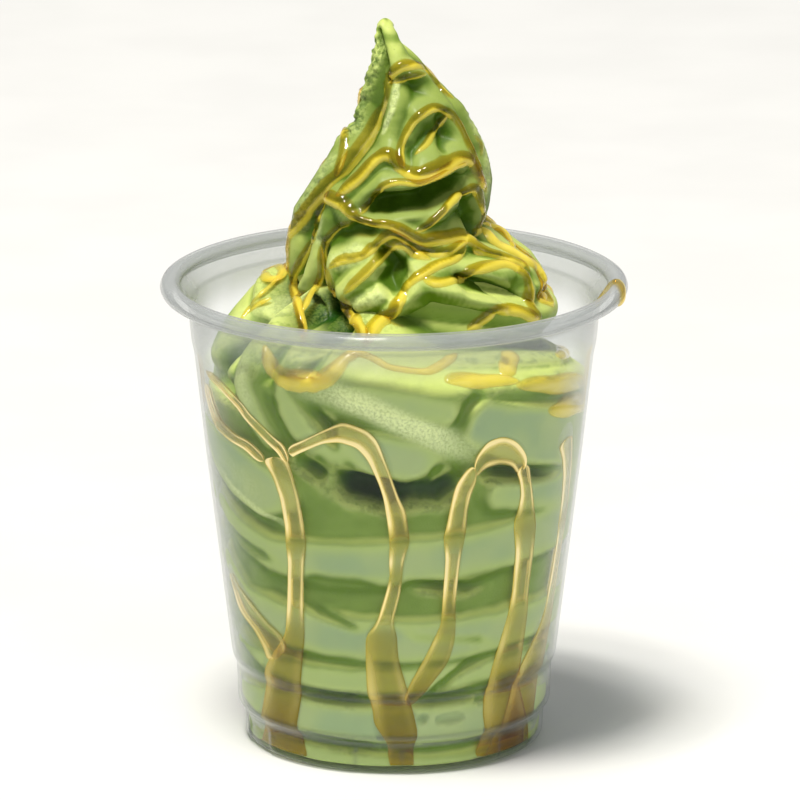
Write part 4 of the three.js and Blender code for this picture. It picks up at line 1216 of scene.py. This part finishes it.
def wall_band(left, right, filled):
    """A run of honey on the inside of the wall between two banks. A filled part is one flat dome;
    a drained part is a thin film between two round beads. The outer face lies on the wall."""
    t = np.sin(np.linspace(-np.pi / 2, np.pi / 2, 31))
    place = np.stack([left[:, 0] * 0.7, left[:, 1], 0 * left[:, 1]], -1)
    swell = 1 + 0.5 * clumps(place, 6.0)[:, None]
    width = BEAD_WIDTH * np.where(t < 0, 1.25, 0.8) * swell
    beaded = np.exp(-((np.abs(t) - BEAD_AT) / width) ** 2)
    bead = (FILM + (BEAD - FILM) * beaded) * np.sqrt(1 - np.abs(t) ** 5)
    dome = SOLID * (1 - t ** 2) ** 0.4
    run = np.arange(len(left))
    ends = rounded_ends(np.minimum(run, run[::-1]), 4)[:, None]
    depth = (bead + (dome - bead) * filled[:, None]) * ends
    angle, z = ((a[:, None] + b[:, None]) / 2 + (b - a)[:, None] / 2 * t * ends
                for a, b in zip(left.T, right.T))
    z = np.maximum(z, FOOT_RECESS + WALL + 0.1)
    wall = inside_wall(z)
    full, low = smooth_step(filled)[:, None], smooth_step(z, 36, 6)
    # Painted light and shade: a darker tint along the banks, a painted highlight in the beads that
    # is stronger on the left bank, and a glow that is brighter towards the left bank.
    rim = smooth_step(np.abs(t), 0.93, 1)
    body = np.clip(full * (0.3 + 0.6 * low + 0.1 * dome) + 0.55 * rim + 0.35 * low, 0, 1)
    cream = beaded * (1 - rim) * np.clip(swell * np.where(t < 0, 1.2, 0.75), 0.3, 1.2)
    cream = np.clip((1 - full) * (0.08 * (1 - low) + cream) * (1 - 0.5 * low), 0, 1)
    glow = 0.55 - 0.25 * t - 0.2 * low
    angle, z, glow, body, cream = (np.concatenate([one, one[:, ::-1]], axis=1)
                                   for one in (angle, z, glow, body, cream))
    r = np.concatenate([wall - 0.02 - depth, (wall + 0.05)[:, ::-1]], axis=1)
    return round_about(angle, r, z), glow, body, cream


bands = []
for name, angle in ALL_RUNS:
    left, right, filled = banks_of(name)
    bands.append(wall_band(left + (angle, 0), right + (angle, 0), filled))
for angle, high, low in SIDE_RUNS:
    z = np.linspace(high, low, 24)
    wander = angle + 0.8 * np.sin(z / 3)
    bands.append(wall_band(np.stack([wander - 1.6, z], -1), np.stack([wander + 1.6, z], -1),
                           np.full(24, 0.8)))
honey("honey_runs", bands)


def rim_drip():
    """The drip that arches over the rim's bead: a round strand along its path."""
    unrolled = np.array([0.8, 0.03])
    flat, half = resample(np.array(DRIP_PATH) * unrolled, 0.18, DRIP_HALF)
    a, b = np.radians(eased(flat, 2) / unrolled).T
    outward = np.stack([np.cos(a) * np.cos(b), np.sin(a) * np.cos(b), np.sin(b)], -1)
    ring = RIM_RADIUS - RIM_BEAD_WIDTH / 2 + 2.0 * np.cos(b)
    p = np.stack([ring * np.cos(a), ring * np.sin(a), RIM_LEVEL + 1.7 * np.sin(b)], -1)
    across = unit(np.cross(unit(np.gradient(p, axis=0)), outward))
    run = np.linspace(0, 1, len(p))
    ends = rounded_ends(np.minimum(run, 1 - run), 0.12)[:, None]
    phi = full_turn(STRAND_SIDES)
    wide = half[:, None] * np.cos(phi) * ends
    rise = np.where(np.sin(phi) > 0, 0.75, 0.3) * np.sin(phi) * ends
    rings = p[:, None] + across[:, None] * wide[..., None] + outward[:, None] * rise[..., None]
    return rings, *glow_and_body(np.cos(phi), across, 0 * run[:, None], 1 + 0 * run[:, None])


honey("honey_on_rim", [rim_drip()])


# ---------------------------------------------------------------- cup

CUP_COLUMNS = 240
CUP_ROWS = 410
PANELS = 6
PANEL_TOP = 5.8
PANEL_LIFT = 0.45
RIM_WAVE = 0.012


def rounded(profile):
    """A profile with its corners rounded, in even steps of 0.3 mm."""
    return eased(resample(profile, 0.3)[0], 1.6)


def curled(start, end, count, width, height, wave=0.0):
    """An arc round the middle of the rim's bead, from one angle to another, of half the width and
    height given, with waves in it."""
    a = np.radians(np.linspace(start, end, count))
    swell = 1 - wave * (1 - np.cos(9 * a))
    return np.stack([RIM_RADIUS - RIM_BEAD_WIDTH / 2 + width / 2 * np.cos(a) * swell,
                     RIM_LEVEL + height / 2 * np.sin(a) * swell], -1)


def cup_profile():
    """Section of the shell from the middle of its underside, out and up the outside, round the
    rolled rim, and down the inside to the middle of its floor."""
    ring_in, ring_out = FOOT_RING
    floor = FOOT_RECESS + WALL
    outer = rounded([(0.5, FOOT_RECESS), (ring_in - 2, FOOT_RECESS), (ring_in, 0.0),
                     (ring_out, 0.0), (ring_out + 1.1, 0.4), *zip(WALL_R[1:], WALL_Z[1:])])
    outer[:, 1] = np.maximum(outer[:, 1], 0)
    inner = rounded([*[(r - WALL, z) for r, z in zip(WALL_R[:1:-1], WALL_Z[:1:-1])],
                     (ring_out + 0.4, floor + 0.4), (ring_out - 1, floor), (0.5, floor)])
    return np.concatenate([outer, curled(205, -110, 44, 3.1, 2.5),
                           curled(-110, 190, 80, RIM_BEAD_WIDTH, RIM_BEAD_HEIGHT, RIM_WAVE), inner])


def cup():
    """The shell: its section turned round the axis, with raised panels round the foot, which keep
    stacked cups apart. Its rings lie closer where the section bends."""
    r, z = cup_profile().T
    dr, dz = np.gradient(r), np.gradient(z)
    bend = np.abs(np.gradient(np.unwrap(np.arctan2(dz, dr)))) / np.maximum(np.hypot(dr, dz), 0.05)
    detailed = (bend > 0.03) | (z < 7) & (r > 26)
    needed = np.cumsum(np.where(np.abs(z - RIM_LEVEL) < 2.5, 1.6, np.where(detailed, 1, 0.15)))
    rows = np.interp(np.linspace(needed[0], needed[-1], CUP_ROWS), needed, np.arange(len(r)))
    rows = np.unique(rows.round().astype(int))
    r, z, bend = r[rows, None], z[rows, None], bend[rows, None]
    angle = np.arange(CUP_COLUMNS) * 360 / CUP_COLUMNS
    across = smooth_step(np.cos(PANELS * (np.radians(angle - 270) - 0.42)), -0.62, -0.5)
    up = smooth_step(z, 0.4, 1.2) * (r > 28) \
        * (1 - smooth_step(z, PANEL_TOP - 0.3, PANEL_TOP + 0.2))
    # Where the plastic's painted dark reflection lines lie: its bends, faintly on the rim and the
    # foot, and the panels' sides.
    corner = smooth_step(bend, 0.1, 0.45) * np.where(z > RIM_LEVEL - 2.4, 0.15, 1) \
        * np.where(z < 2.5, 0.3, 1)
    closed_skin("clear_cup", [round_about(angle, r + PANEL_LIFT * up * (across - 0.5), z)],
                PLASTIC, "clear_plastic", ["cup"],
                corner=[np.maximum(corner, 4 * across * (1 - across) * up)])


cup()


# ---------------------------------------------------------------- table, light and view

def tabletop():
    """A flat pale square, 6 m across."""
    mesh = bpy.data.meshes.new("tabletop")
    mesh.from_pydata([(-3, -3, 0), (3, -3, 0), (3, 3, 0), (-3, 3, 0)], [], [(0, 1, 2, 3)])
    mesh.materials.append(floor_finish())
    table = bpy.data.objects.new("tabletop", mesh)
    bpy.context.scene.collection.objects.link(table)


def soft_box(name, place, target, size, power, colour):
    """A square light of a size in metres that faces its target."""
    light = bpy.data.lights.new(name, "AREA")
    light.shape, light.size, light.energy, light.color = "SQUARE", size, power, colour
    lamp = bpy.data.objects.new(name, light)
    lamp.location = place
    x, y, z = np.array(target) - np.array(place)
    lamp.rotation_euler = (np.arctan2(np.hypot(x, y), -z), 0, np.arctan2(y, x) - np.pi / 2)
    bpy.context.scene.collection.objects.link(lamp)


def studio():
    """A pale room, a soft key almost overhead and a weaker fill on the right."""
    world = bpy.data.worlds.new("studio")
    world.use_nodes = True
    background = world.node_tree.nodes["Background"]
    background.inputs["Color"].default_value = (0.95, 0.97, 1.0, 1)
    background.inputs["Strength"].default_value = 0.3
    bpy.context.scene.world = world
    soft_box("key", (-0.62, -0.9, 3.9), (0, 0, 0.08), 0.95, 205, (1.0, 0.97, 0.9))
    soft_box("fill", (0.7, -1.1, 0.7), (0, 0, 0.08), 0.9, 3, (0.97, 0.98, 1.0))


def camera():
    """The photograph's view: the middle of the rim is seen 14.6 degrees from above at 2 m, and the
    lens makes 1 mm there PIXELS_PER_MM of the picture's pixels."""
    data = bpy.data.cameras.new("front")
    data.sensor_width = 36.0
    data.lens = data.sensor_width * PIXELS_PER_MM * VIEW_DISTANCE / PICTURE
    view = bpy.data.objects.new("front", data)
    view.location = ((PICTURE / 2 - RIM_PIXEL[0]) / PIXELS_PER_MM * MM,
                     -VIEW_DISTANCE * np.cos(VIEW_TILT) * MM,
                     (RIM_LEVEL + VIEW_DISTANCE * np.sin(VIEW_TILT)) * MM)
    lower = np.arctan((PICTURE / 2 - RIM_PIXEL[1]) / (PIXELS_PER_MM * VIEW_DISTANCE))
    view.rotation_euler = (np.pi / 2 - VIEW_TILT - lower, 0, 0)
    bpy.context.scene.collection.objects.link(view)
    bpy.context.scene.camera = view


tabletop()
studio()
camera()
bpy.context.scene.view_settings.view_transform = "Standard"
bpy.context.scene.cycles.transparent_max_bounces = 32      # the cup has many clear faces in a row
